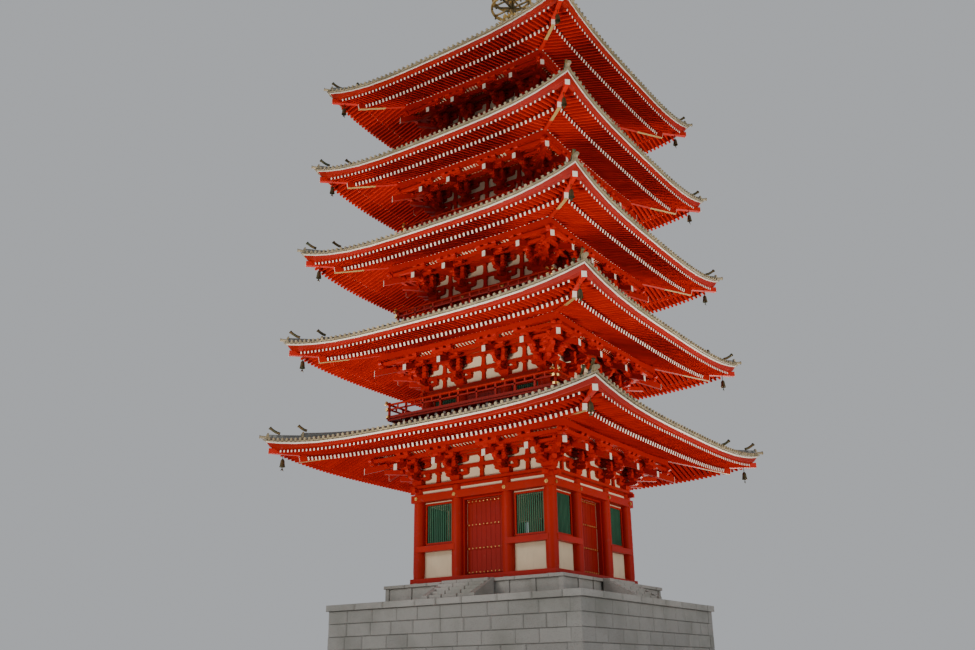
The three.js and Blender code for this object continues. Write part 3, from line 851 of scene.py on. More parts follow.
def build_podium():
    """The podium: a base course, panels between posts, a coping and flags."""
    low, high = real_box("podium")
    out, foot, top = high.x, low.z, high.z
    half, middle = out - 0.08, (foot + top) / 2
    course, tall, bays = 0.16, 0.58, 7
    dice = random.Random(9)
    base, caps, panels, posts, flags = (Places() for _ in range(5))
    stone_course(base, half + 0.05, foot, foot + course, 0.4, 1.5, dice)
    stone_course(caps, out, top - course, top, 0.75, 1.6, dice)
    pitch = (2 * half - 0.24) / bays
    for bay in range(bays + 1):
        x = -half + 0.12 + bay * pitch
        posts.add((x, -half + 0.1, middle), 0.0, (0.22, 0.2, tall))
        if bay < bays:
            panels.add((x + pitch / 2, -half + 0.14, middle), 0.0, (pitch - 0.23, 0.16, tall))
    paving(flags, half - 0.66, 0.0, top, 0.62)
    core = Shape().squares([(half - 0.1, foot), (half - 0.1, top - 0.04)])
    meshes = [solid("core", core, "dressed")]
    for seed, places in enumerate((base, caps, panels, posts), 1):
        meshes.append(repeats(f"stones {seed}", places.turned(), stone_block(), "dressed", seed))
    meshes.append(repeats("flags", flags, flag_stone(), "dressed", 5))
    show("podium_masonry", meshes, ["podium"])


def build_steps():
    """The four flights: treads of three stones each, and cheek stones with a sloping back."""
    low, high = real_box("steps_south")
    near, far, foot, top = -high.y, -low.y, low.z, high.z
    count, going, width, cheek = 5, 0.29, 2.6, 0.15
    rise = (top - foot) / count
    treads, cheeks = Places(), Shape()
    for step in range(count):
        level = foot + rise * (step + 1) - 0.004 * step
        depth = going * (count - step)
        for third in (-1, 0, 1):
            centre = (third * width / 3, -(near + depth / 2), level - rise / 2)
            treads.add(centre, 0.0, (width / 3 - 0.012, depth, rise - 0.006))
    outline = [(near, foot), (far, foot), (far, foot + 0.16), (far - 0.12, foot + 0.2), (near, top)]
    for x in (-width / 2, width / 2):
        cheeks.plate(outline, x - cheek, x + cheek, lambda u, v, depth: (depth, -u, v))
    meshes = [
        repeats("treads", treads.turned(), stone_block(), "dressed", 1),
        solid("cheeks", cheeks.turned(), "dressed"),
    ]
    show("steps_masonry", meshes, ["steps_" + side for side in COMPASS])


# Frames, walls, doors and windows
def opening_sizes(s):
    """The doorway's half-width and heights, and a window's sides and heights."""
    if s.first:
        door_heights, window_heights = (s.floor + 0.34, -0.92), (-2.85, -1.0)
    else:
        door_heights, window_heights = (s.floor + 0.22, -0.66), (s.floor + 0.34, -0.76)
    return (s.inner - COLUMN_RADIUS - 0.08, *door_heights), (s.inner + 0.42, s.body - 0.42, *window_heights)


def build_frames():
    """Columns and the beams that tie them, with gilt bosses on the beams and nosings past the corners."""
    boss = Shape().plate(wheel(6, 0.075), 0.0, 0.03, faced).plate(wheel(8, 0.035), 0.03, 0.06, faced)
    shaft_top = -0.16
    for s in storeys:
        columns, nosings, bosses = Shape(), Shape(), Places()
        foot = s.floor + (0.12 if s.first else 0.0)
        shaft = [
            (0, foot), (COLUMN_RADIUS - 0.03, foot), (COLUMN_RADIUS, foot + 0.5), (COLUMN_RADIUS, -1.1),
            (COLUMN_RADIUS - 0.035, shaft_top), (0, shaft_top),
        ]
        for x in s.columns:
            bosses.add((x, -s.face, sum(s.head) / 2), 0.0, (1.3, 1, 1.3))
        for x in s.columns[:3]:
            columns.lathe(shaft, 24, (x, -s.body))
        level = s.seat * 0.9 - 0.24
        for side in (-1, 1):
            nosings.line((side * (s.body + 0.1), -s.body, level), (side * (s.body + 0.56), -s.body, level))
        beams = Shape().beam_ring(s.wall, s.face, *s.head)
        if s.first:
            beams.beam_ring(s.body - 0.11, s.body + 0.11, -0.275, -0.14)
        beams.beam_ring(s.wall + 0.02, s.body + (0.36 if s.first else 0.2), s.seat - 0.14, s.seat)
        beams.beam_ring(s.wall, s.face - 0.01, s.floor + 0.001, s.sill)
        meshes = [
            solid("columns", columns.turned(), "vermilion", 40),
            solid("beams", beams, "vermilion"),
            members("nosings", nosings.turned(), "vermilion", 0.18, 0.2, 3),
        ]
        if s.first:
            stones, waists = Shape(), Shape()
            front, waist = -s.face + 0.16, -3.16
            foot_stone = [(0, s.floor), (0.42, s.floor), (0.4, s.floor + 0.08), (0.33, foot), (0, foot)]
            for x in s.columns[:3]:
                stones.lathe(foot_stone, 20, (x, -s.body))
            for side in (-1, 1):
                waists.line((side * s.inner, front, waist), (side * s.body, front, waist))
            meshes.append(members("waists", waists.turned(), "vermilion", 0.3, 0.28, 4))
            meshes.append(solid("foot stones", stones.turned(), "dressed", 40))
        meshes.append(repeats("bosses", bosses.turned(), boss, "gilt", 5))
        show_storey("columns_and_beams", s, meshes, "vermilion", "frame")


def door_leaves(s, wood, fittings, front):
    """Two closed leaves of upright boards between rails, with rows of bosses."""
    (half, low, high), _ = opening_sizes(s)
    if not s.first:
        half = s.inner - COLUMN_RADIUS
    board = half / 4
    rails = (0.04, 0.35, 0.66, 0.97) if s.first else (0.06, 0.94)
    for leaf in (-1, 1):
        for i in range(4):
            x = leaf * board * (i + 0.5)
            deep = 0.02 + 0.004 * (i % 2)
            width = board / 2 - 0.006
            wood.box(x - width, x + width, -front + deep, -front + 0.1, low, high)
        inner, outer = sorted((leaf * 0.02, leaf * (half - 0.01)))
        for share in rails:
            z = low + (high - low) * share
            wood.box(inner, outer, -front - 0.015, -front + 0.03, z - 0.06, z + 0.06)
            for i in range(5):
                fittings.add((leaf * half * (0.1 + 0.2 * i), -front - 0.015, z))


def build_walls(sizes):
    """Wall panels, doors, barred windows and their frames; the plaster shell itself is the CAD's own."""
    boss = Shape().lathe([(0, 0.0), (0.045, 0.0), (0.03, 0.03), (0, 0.04)], 8)
    boss.corners = [Vector(faced(*corner)) for corner in boss.corners]
    for s in storeys:
        for slot in bpy.data.objects[f"wall_{s.number}"].material_slots:
            slot.material = finish("plaster")
        panels, jambs, bars, doors, fittings = Shape(), Shape(), Shape(), Shape(), Places()
        (half, low, high), (near, far, z0, z1) = opening_sizes(s)
        face, back = s.body - 0.1, s.wall + 0.006
        head, trim, jamb = s.head[0], 0.1, 0.2
        for side in (-1, 1):
            left, right = sorted((side * s.inner, side * s.body))
            a, b = sorted((side * near, side * far))
            window = (a, b, z0, z1)
            panels.surround(window, (left, right, s.sill, head), -face, -back)
            jambs.surround(window, (a - trim, b + trim, z0 - trim, z1 + trim), -face - 0.05, -face + 0.14)
            count = max(3, round((b - a) / sizes.bar_spacing))
            for i in range(count):
                x = a + (b - a) * (i + 0.5) / count
                bars.line((x, -face + 0.03, z0), (x, -face + 0.03, z1))
        if s.first:
            outer = (-half - jamb, half + jamb, low - 0.02, high + 0.08)
            jambs.surround((-half, half, low, high), outer, -face - 0.06, -back)
            door_leaves(s, doors, fittings, s.wall)
        else:
            door_leaves(s, doors, fittings, s.body + 0.02)
            jambs.box(-s.inner, s.inner, -s.body - 0.08, -s.body + 0.04, head - 0.04, head)
        meshes = [
            solid("panels", panels.turned(), "plaster"),
            solid("jambs", jambs.turned(), "vermilion"),
            members("bars", bars.turned(), "green", 0.05, 0.05, 2),
            solid("doors", doors.turned(), "deep_red"),
            repeats("bosses", fittings.turned(), boss, "gilt", 3),
        ]
        nodes = ["doors_" + side for side in COMPASS] if s.first else []
        show(f"doors_and_windows_{s.number}", meshes, nodes, s.plate)


# Bracket sets
def block_form():
    """A unit bearing block: hollowed sides below, square above."""
    return Shape().squares([(0.35, 0.0), (0.37, 0.12), (0.5, 0.42), (0.5, 1.0)])


def arm_form():
    """A unit bracket arm along X, its lower corners rounded away."""
    curl = [(0.0, 0.52), (0.03, 0.27), (0.09, 0.1), (0.2, 0.0)]
    outline = [(-0.5 + inward, up) for inward, up in curl] + [(0.5 - inward, up) for inward, up in curl[::-1]]
    outline += [(0.5, 1.0), (-0.5, 1.0)]
    return Shape().plate(outline, -0.5, 0.5, lambda u, v, d: (u, d, v))


class BracketSets:
    """Where the blocks, arms and slanting tail rafters of one storey's bracket sets go."""

    def __init__(self, s):
        self.s = s
        self.blocks, self.arms = Places(), Places()
        self.diagonals, self.tails, self.tips = Shape(), Shape(), Shape()
        for x in s.columns:
            self.set_at(x, corner=abs(x) > s.inner)
        self.diagonal_set()

    def block(self, x, out, low, high, width=0.3):
        """A bearing block at a distance out from the columns."""
        self.blocks.add((x, -(self.s.body + out), low), 0.0, (width, width, high - low))

    def arm(self, x0, x1, out, low, high):
        """An arm along the wall."""
        self.arms.add(((x0 + x1) / 2, -(self.s.body + out), low), 0.0, (x1 - x0, ARM_WIDTH, high - low))

    def out_arm(self, x, out, low, high):
        """An arm square to the wall, from behind the column outward."""
        middle = self.s.body + (out - ARM_BACK) / 2
        self.arms.add((x, -middle, low), math.pi / 2, (out + ARM_BACK, ARM_WIDTH, high - low))

    def across(self, x, side, out, reach, blocks_at, low, high, block_high):
        """An arm along the wall with its blocks; at a corner it runs on to meet the other side's."""
        start, end = x - reach, x + reach
        spots = [x - blocks_at, x, x + blocks_at]
        if side:
            past = x + side * (max(out, STEP_OUT[0]) + 0.3)
            start, end = (start, past) if side > 0 else (past, end)
            spots = [x - side * blocks_at, x, x + side * max(out, STEP_OUT[0])]
        self.arm(start, end, out, low, high)
        for spot in spots:
            self.block(spot, out, high, block_high)

    def set_at(self, x, corner):
        """One column's bracket set: three steps outward, each with its arms and blocks."""
        side = (1 if x > 0 else -1) if corner else 0
        near, middle, far = STEP_OUT
        seat, sunk = self.s.seat, self.s.drop
        first, upper, upper_top = seat + BASE_BLOCK, 0.94, 1.1
        second = first + TIER
        self.block(x, 0.0, seat, first, 0.58)
        self.across(x, side, 0.0, 0.68, 0.55, first, first + ARM_DEPTH, second)
        self.across(x, 0, 0.0, 0.66, 0.53, upper, upper_top, CEILING_BEAMS + 0.02)
        if not corner:
            self.out_arm(x, near + 0.14, first + 0.001, first + ARM_DEPTH + 0.001)
            self.block(x, near, first + ARM_DEPTH, second)
        for low in (second,) if self.s.first else (second, seat + upper):
            high = low + ARM_DEPTH
            self.out_arm(x, middle + 0.02, low + 0.001, high + 0.001)
            self.block(x, middle, high, low + 0.33)
            self.across(x, side, near, 0.36, 0.22, low + 0.003, high + 0.003, low + 0.32)
        self.across(x, side, near, 0.3, 0.0, upper + 0.003, upper_top, CEILING_BEAMS)
        self.across(x, side, middle, 0.62, 0.5, upper + 0.01, upper_top, CEILING_BEAMS)
        self.tail(Vector((x, 0, 0)), Vector((0, -1, 0)))
        self.block(x, far, 0.98, 1.14 - sunk)
        self.across(x, side, far, 0.62, 0.48, 1.145 - sunk, 1.32 - sunk, 1.45 - sunk)

    def tail(self, along, outward):
        """A sloping tail rafter, cut upright at its white end."""
        start, end = self.s.body - 0.1, self.s.body + TAIL_OUT
        across = Vector((-outward.y, outward.x, 0)).normalized()

        def put(half, up, depth):
            lift = Vector((0, 0, TAIL_HEIGHT + (end - half) * TAIL_SLOPE + up))
            return along + outward * half + across * depth + lift

        for shape, near, far, deep, wide in (
            (self.tails, start, end, 0.15, 0.095),
            (self.tips, end, end + 0.012, 0.154, 0.1),
        ):
            shape.plate([(near, -deep), (far, -deep), (far, deep), (near, deep)], -wide, wide, put)

    def diagonal_set(self):
        """The corner's arms and tail rafter along the diagonal."""
        body, seat, last = self.s.body, self.s.seat, STEP_OUT[2]
        spread = Vector((1, -1, 0))
        for reach, low in ((0.72, seat + 0.37), (1.3, seat + 0.71), (1.3, 1.05)):
            level = Vector((0, 0, low))
            self.diagonals.line(spread * (body - 0.1) + level, spread * (body + reach) + level)
        self.tail(Vector((0, 0, 0)), spread)
        self.blocks.add((body + last, -(body + last), 1.0), 0.0, (0.34, 0.34, 0.14))


def build_brackets():
    """The bracket sets with the beams and purlin that they carry, and the struts between them."""
    strut = Shape().squares([(0.5, 0.0), (0.36, 0.35), (0.33, 1.0)])
    for s in storeys:
        sets = BracketSets(s)
        near, middle, far = (s.body + out for out in STEP_OUT)
        beams, struts, caps = Shape(), Places(), Places()
        for low, high in ((s.seat + 0.62, s.seat + 0.8), (CEILING_BEAMS + 0.02, CEILING + 0.02)):
            beams.beam_ring(s.body - 0.13, s.body + 0.09, low, high)
        for half in (near, middle):
            beams.beam_ring(half - 0.09, half + 0.09, CEILING_BEAMS, CEILING - 0.02)
        beams.beam_ring(far - 0.13, far + 0.13, 1.45 - s.drop, RAFTERS_AT_PURLIN - s.drop + 0.06)
        for x in s.bays:
            for low, high in ((s.seat, s.seat + 0.48), (s.seat + 0.8, 1.08)):
                struts.add((x, -s.body, low), 0.0, (0.3, 0.16, high - low))
                caps.add((x, -s.body, high), 0.0, (0.3, 0.26, 0.14))
        meshes = [
            solid("beams", beams, "vermilion"),
            repeats("blocks", sets.blocks.turned(), block_form(), "vermilion", 1),
            repeats("arms", sets.arms.turned(), arm_form(), "vermilion", 2),
            members("diagonals", sets.diagonals.turned(), "vermilion", 0.22, 0.21, 3),
            solid("tails", sets.tails.turned(), "vermilion"),
            solid("tips", sets.tips.turned(), "white"),
            repeats("struts", struts.turned(), strut, "vermilion", 6),
            repeats("strut caps", caps.turned(), block_form(), "vermilion", 7),
        ]
        show_storey("bracket_sets", s, meshes, "vermilion", "brackets")


def spaced(spacing, limit):
    """Places along a side, a spacing apart and alike to left and right of its middle."""
    count = int(limit / spacing)
    return [i * spacing for i in range(-count, count + 1)]


def build_ceilings(sizes):
    """Plaster between the brackets, the flat lattice above them and the ribbed cove out to the purlin."""
    for s in storeys:
        middle, far = (s.body + out for out in STEP_OUT[1:])
        top, cove_end = CEILING + 0.06, CEILING - s.drop
        panel = Shape().beam_ring(s.wall + 0.006, s.body - 0.07, s.seat + 0.001, top)
        if s.first:
            panel.beam_ring(s.wall + 0.006, s.body + 0.095, -0.45, -0.27)
        board = Shape().beam_ring(s.body - 0.06, middle + 0.03, CEILING + 0.012, top)
        cove = Shape().ring(
            [(middle, CEILING, 0), (middle + 0.2, CEILING + 0.04, 0), (far - 0.1, cove_end + 0.2, 0),
             (far - 0.1, cove_end + 0.24, 0), (middle + 0.18, CEILING + 0.09, 0), (middle, CEILING + 0.05, 0)]
        )
        lattice, ribs = Shape(), Shape()
        for x in spaced(sizes.lattice_spacing, middle - 0.1):
            start = max(s.body - 0.06, abs(x) + 0.03)
            if start < middle - 0.1:
                lattice.line((x, -start, CEILING - 0.005), (x, -middle, CEILING - 0.005))
        for out in (0.19, 0.38, 0.76, 0.95):
            half = s.body + out
            lattice.line((-half, -half, CEILING - 0.003), (half, -half, CEILING - 0.003))
        for x in spaced(sizes.lattice_spacing, middle - 0.02):
            inner, outer = (x, -(middle + 0.06), CEILING - 0.025), (x, -(far - 0.12), cove_end + 0.185)
            ribs.line(inner, (x, -(middle + 0.24), CEILING + 0.02), outer)
        meshes = [
            solid("panel", panel, "plaster"),
            solid("board", board, "plaster"),
            solid("cove", cove, "plaster"),
            members("lattice", lattice.turned(), "vermilion", 0.045, 0.045, 1),
            members("ribs", ribs.turned(), "vermilion", 0.06, 0.06, 2),
        ]
        show_storey("panels_and_ceiling", s, meshes, "plaster")


# Eaves
def build_eaves():
    """The boards over the rafters, the fascia and white board along the edge, and the hip rafters.

    The soffit and fascia are painted darker as shade, the bead at the fascia's joint is a painted highlight
    line and the near-black batten under the tile edge is a painted shadow line.
    """
    for s in storeys:
        eave, base_foot, base_end = s.eave, s.base(s.wall), s.base(s.base_end)
        fly_foot, fly_end = s.flying(s.base_end), s.flying(s.flying_end)
        soffit = Shape().curved_ring(
            [raised(base_foot, 0.165), raised(base_end, 0.165), raised(base_end, 0.3),
             raised(base_foot, 0.32)]
        )
        soffit.curved_ring(
            [raised(fly_foot, 0.1, -0.15), raised(fly_end, 0.1, -0.13), raised(fly_end, 0.2, -0.13),
             raised(fly_foot, 0.3, -0.15)]
        )
        half, height, rise = base_end
        sides = (half - 0.17, half - 0.02)
        boards = Shape().band((height + 0.19, rise), sides, (height + 0.29, rise), sides)
        bottom, top = (fly_end[1] + 0.13, fly_end[2]), (s.mid - 0.06, s.rise)
        joint = tuple(low + 0.42 * (high - low) for low, high in zip(bottom, top))
        boards.band(bottom, (eave - 0.4, eave - 0.28), joint, (eave - 0.3, eave - 0.17))
        boards.band(joint, (eave - 0.3, eave - 0.145), top, (eave - 0.2, eave - 0.03))
        white = Shape().band(top, (eave - 0.16, eave - 0.012), lifted(top, 0.08), (eave - 0.16, eave - 0.002))
        sides, upper_sides = (eave - 0.18, eave - 0.147), (eave - 0.18, eave - 0.138)
        # A thin bead at the joint of the two fascia boards, in plain vermilion that shows lighter than the
        # darkened fascia: a painted highlight line.
        highlight_bead = Shape().band(lifted(joint, -0.016), sides, lifted(joint, 0.006), upper_sides)
        # A near-black batten under the tile edge, whose dark paint is the painted shadow line there.
        sides = (eave - 0.15, eave - 0.045)
        batten = Shape().band(lifted(top, 0.07), sides, lifted(top, 0.14), sides)
        half, height, rise = s.base(s.body + PURLIN_OUT + 0.132)
        sides = (half, half + 0.02)
        white.band((height + 0.01, rise), sides, (height + 0.18, rise), sides)

        def hip(place, up, out):
            """A point on the hip's line, moved up and outward from a place of the rafters."""
            return s.corner(place[0] + out - eave, place[1] + place[2] + up)

        hips, hip_ends, soles, fly_hips, fly_ends = (Shape() for _ in range(5))
        start, end = hip(s.base(s.wall + 0.5), 0.04, 0), hip(base_end, 0.04, 0.17)
        ahead, sunk = (end - start).normalized(), Vector((0, 0, -0.15))
        hips.line(start, end)
        hip_ends.line(end, end + ahead * 0.015)
        soles.line(end - ahead * 1.6 + sunk, end + sunk)
        start, end = hip(fly_foot, 0.1, -0.1), hip(fly_end, 0.055, 0.08)
        fly_hips.line(start, end)
        fly_ends.line(end, end + (end - start).normalized() * 0.012)
        meshes = [
            # The soffit's darkened red paints the shade in the gaps between the rafters.
            solid("soffit", soffit, "soffit_red_painted_shade", 30),
            # The fascia's darkened red is painted shade against the strong light on it.
            solid("boards", boards, "fascia_red_painted_shade", 30),
            solid("highlight_bead", highlight_bead, "vermilion", 30),
            solid("white", white, "white", 30),
            solid("batten", batten, "painted_shadow_batten", 30),
            members("hips", hips.turned(), "vermilion", 0.2, 0.31, 1),
            members("hip ends", hip_ends.turned(), "white", 0.205, 0.315, 2),
            members("hip soles", soles.turned(), "ochre", 0.17, 0.03, 5),
            members("flying hips", fly_hips.turned(), "vermilion", 0.22, 0.26, 3),
            members("flying ends", fly_ends.turned(), "white", 0.235, 0.275, 4),
        ]
        show_storey("eave_boards", s, meshes, "vermilion", "eaves")


def build_rafters(sizes):
    """Two rows of rafters on every side, each with its white end."""
    for s in storeys:
        timbers, ends = [], []
        rows = (
            (s.base, s.wall + 0.02, s.base_end, 0.18, 0.12, sizes.rafter_width, sizes.rafter_height),
            (s.flying, s.base_end - 0.14, s.flying_end, 0.55, 0.1, sizes.flying_width, sizes.flying_height),
        )
        for seed, (underside, inmost, outmost, margin, gap, wide, tall) in enumerate(rows, 1):
            rafters, tips = Shape(), Shape()
            for x in spaced(sizes.rafter_spacing, outmost - margin):
                start = on_side(raised(underside(max(inmost, abs(x) + gap)), tall / 2), x)
                end = on_side(raised(underside(outmost), tall / 2), x)
                rafters.line(start, end)
                tips.line(end, end + (end - start).normalized() * 0.004)
            timbers.append(members("rafters", rafters.turned(), "rafter_red", wide, tall, seed))
            ends.append(members("tips", tips.turned(), "white", wide - 0.006, tall - 0.006, seed + len(rows)))
        show_storey("rafters", s, timbers + ends, "vermilion", "eaves")


def build_bells():
    """A bronze wind bell with its clapper plate under each corner."""
    profile = [
        (0.0, 0.04), (0.05, 0.04), (0.075, 0.0), (0.1, -0.04), (0.112, -0.16), (0.128, -0.28),
        (0.15, -0.36), (0.135, -0.36), (0.112, -0.27), (0.09, -0.1), (0.0, -0.06),
    ]
    plate = [(-0.02, -0.42), (0.02, -0.42), (0.1, -0.56), (0, -0.52), (-0.1, -0.56)]
    for s in storeys:
        _, low, rise = s.flying(s.flying_end)
        hook, reach = low + rise, s.eave - 0.63
        top = hook - 0.38
        bells, metalwork = Shape(), Shape()
        bells.lathe(moved(profile, 0, top), 16, (reach, -reach))
        bells.plate(moved(plate, reach, top), -0.01, 0.01, lambda u, v, depth: (u, -reach + depth, v))
        for high, low in ((hook + 0.05, top + 0.02), (top - 0.1, top - 0.46)):
            metalwork.line((reach, -reach, high), (reach, -reach, low))
        meshes = [
            solid("bells", bells.turned(), "patina", 40),
            rounds("rods", metalwork.turned(), "patina", 0.018, 6),
        ]
        show(f"wind_bells_{s.number}", meshes, [], s.plate)


# Roofs
def build_roofs(sizes):
    """The tile bed, the rows of round cover tiles running down it and the row of end tiles at the eave."""
    disc_radius = 0.066
    sag = [(-0.5, 0.03), (-0.3, 0.0), (0.0, -0.012), (0.3, 0.0), (0.5, 0.03)]
    disc = Shape().plate(wheel(10, 0.073), -0.04, 0.02, faced).plate(wheel(5, 0.05), 0.02, 0.03, faced)
    lip = Shape().plate(sag + moved(sag[::-1], 0, -0.035), -0.02, 0.012, faced)
    spacing, radius = sizes.tile_spacing, sizes.tile_radius
    share = radius / disc_radius
    for s in storeys:
        seat, nose = s.mid + 0.055, s.roof(0.0)
        slope = [s.roof(step / 9) for step in range(10)]
        outline = [(s.eave - 0.16, seat, s.rise), (s.nose - 0.03, seat, s.rise), *slope]
        if s.top:
            curb = slope[-1][1]
            outline += [(0.5, curb, 0), (0.5, curb - 0.2, 0)]
        outline += [raised(s.roof(up), -0.17) for up in (1, 0.5, 0.16)]
        edge = Shape().curved_ring(
            [(s.eave - 0.01, seat - 0.008, s.rise), (s.nose - 0.012, seat - 0.008, s.rise),
             raised(nose, 0.003, 0.006), raised(s.roof(0.03), 0.004)]
        )
        rows, ends, lips = Shape(), Places(), Places()
        for x in spaced(spacing, s.nose - 0.3):
            highest = min(1.0, s.roof_share(max(abs(x) + 0.12, s.apex)))
            steps = max(2, math.ceil(7 * highest))
            places = [raised(s.roof(highest * step / steps), 0.045) for step in range(steps + 1)]
            rows.line(*(on_side(place, x) for place in places))
            ends.add(on_side(raised(nose, 0.07, 0.008), x), 0.0, (share, 1, share))
            middle = x + spacing / 2
            if abs(middle) < s.nose - 0.2:
                lips.add(on_side(raised(nose, -0.02), middle), 0.0, (spacing - 0.1, 1, 1))
        meshes = [
            solid("bed", Shape().curved_ring(outline), "tile", 30),
            solid("edge", edge, "end_tile", 30),
            rounds("rows", rows.turned(), "tile", radius, 8, 1),
            repeats("ends", ends.turned(), disc, "end_tile", 2),
            repeats("lips", lips.turned(), lip, "end_tile", 3),
        ]
        show_storey("tiled_roof", s, meshes, "tile", "roof")


def ridge_end_form():
    """An arched ridge-end tile with a rim, a boss and two scrolled feet."""
    arch = [(0.22 * math.cos(math.pi * i / 8), 0.26 + 0.2 * math.sin(math.pi * i / 8)) for i in range(9)]
    outline = [(0.3, -0.06), (0.24, 0.06), *arch, (-0.24, 0.06), (-0.3, -0.06)]
    shape = Shape().plate(outline, -0.06, 0.03, faced)
    shape.plate([(u * 0.72, 0.05 + v * 0.78) for u, v in outline], 0.03, 0.06, faced)
    shape.plate(wheel(10, 0.085, 0.0, 0.25), 0.06, 0.1, faced)
    for u in (-0.24, 0.24):
        shape.plate(wheel(10, 0.07, u, 0.02), 0.0, 0.08, faced)
    return shape


def hip_path(s, low, high, up, steps=6):
    """Paths up the four hips between two shares of the roof, a little above the tile bed."""
    places = [s.roof(low + (high - low) * step / steps) for step in range(steps + 1)]
    return Shape().line(*((half, -half, height + rise + up) for half, height, rise in places)).turned()


def build_ridges():
    """Layered hip ridges in two lengths, each ending in an arched tile under an upturned round tile."""
    foot_height, course_height, corner = 0.1, 0.042, EAVE_CORNER
    for s in storeys:
        meshes = []
        ends, horns, tips = Places(), Shape(), Shape()
        split = 1.4 / (s.nose - s.apex)
        for name, low, high, layers, slim, size in (
            ("lower", 0.03, split, 1, 0.72, (0.5, 0.8, 0.7)),
            ("upper", split, 0.97 if s.top else 0.76, 4, 1.0, (0.7, 1, 0.9)),
        ):
            foot = hip_path(s, low, high, 0.03)
            meshes.append(members(name + " foot", foot, "ridge", 0.32 * slim, 0.14, 1))
            up = foot_height
            for layer in range(layers):
                wide = (0.28 - 0.05 * (layer % 2)) * slim
                course = hip_path(s, low, high, up + 0.02)
                meshes.append(members(f"{name} {layer}", course, "ridge", wide, 0.045, layer))
                up += course_height
            meshes.append(rounds(name + " cover", hip_path(s, low, high, up + 0.04), "ridge", 0.075, 10, 2))
            half, height, rise = s.roof(low)
            ends.add((half, -half, height + rise + 0.02), math.pi / 4, size)
        for out, up, far, far_up in ((-0.48, 0.4, -0.12, 0.68), (-1.42, 0.6, -1.12, 0.84)):
            bend = [(out + (far - out) * t, corner + up + (far_up - up) * t**1.5) for t in (0, 0.35, 0.7, 1)]
            horns.line(*(s.corner(*point) for point in bend))
            tips.line(*(s.corner(far + way * 0.012, corner + far_up + way * 0.016) for way in (-1, 1)))
        tiles = Shape().line(s.corner(-0.3, corner + 0.14), s.corner(0.22, corner + 0.21))
        discs = Shape().line(s.corner(0.215, corner + 0.21), s.corner(0.235, corner + 0.213))
        meshes += [
            repeats("ridge ends", ends.turned(), ridge_end_form(), "end_tile", 3),
            rounds("horns", horns.turned(), "patina", 0.07, 10, 4),
            rounds("horn tips", tips.turned(), "patina", 0.09, 12, 5),
            rounds("corner tiles", tiles.turned(), "end_tile", 0.075, 10, 6),
            rounds("corner discs", discs.turned(), "end_tile", 0.1, 12, 7),
        ]
        show_storey("ridges", s, meshes, "tile", "roof")


# Balconies
def build_balconies():
    """The decks on their waist beams, with blocks under them and white joist ends."""
    for s in storeys[1:]:
        edge = real_box(f"balcony_{s.number}")[1].x
        waist_low, waist_high = real_box(f"waist_{s.number}")
        beam, low = waist_high.x, waist_low.z - s.plate
        under, board_level, joist_level = s.floor - 0.16, s.floor - 0.027, s.floor - 0.19
        board, joist_spacing = 0.29, 0.52
        pitch = edge / (int(edge / board) + 0.5)
        decks, joists, tips, rim, blocks = Shape(), Shape(), Shape(), Shape(), Places()
        for x in spaced(pitch, edge):
            start = max(s.body - 0.25, abs(x) + 0.03)
            if start < edge - 0.1:
                decks.line((x, -start, board_level), (x, -edge, board_level))
        for inner, outer, bottom, top in (
            (edge - 0.22, edge - 0.05, s.floor - 0.158, s.floor - 0.056),
            (s.wall, edge - 0.2, s.floor - 0.1, s.floor - 0.06),
            (beam - 0.22, beam - 0.02, low, under - 0.06),
            (s.wall, beam - 0.06, under - 0.06, under + 0.04),
        ):
            rim.beam_ring(inner, outer, bottom, top)
        for x in spaced(joist_spacing, edge - 0.3):
            start = max(s.body + 0.1, abs(x) + 0.1)
            if start < edge - 0.4:
                joists.line((x, -start, joist_level), (x, -edge + 0.28, joist_level))
                tips.line((x, -edge + 0.29, joist_level), (x, -edge + 0.265, joist_level))
            if abs(x) < beam - 0.1:
                blocks.add((x, -beam - 0.02, under - 0.2), 0.0, (0.24, 0.24, 0.16))
        meshes = [
            members("decks", decks.turned(), "deep_red", pitch - 0.012, 0.052, 1),
            solid("rim", rim, "vermilion"),
            members("joists", joists.turned(), "vermilion", 0.13, 0.13, 2),
            members("joist tips", tips.turned(), "white", 0.138, 0.138, 3),
            repeats("blocks", blocks.turned(), block_form(), "vermilion", 4),
        ]
        show_storey("balcony_deck", s, meshes, "vermilion", "balcony", "waist")


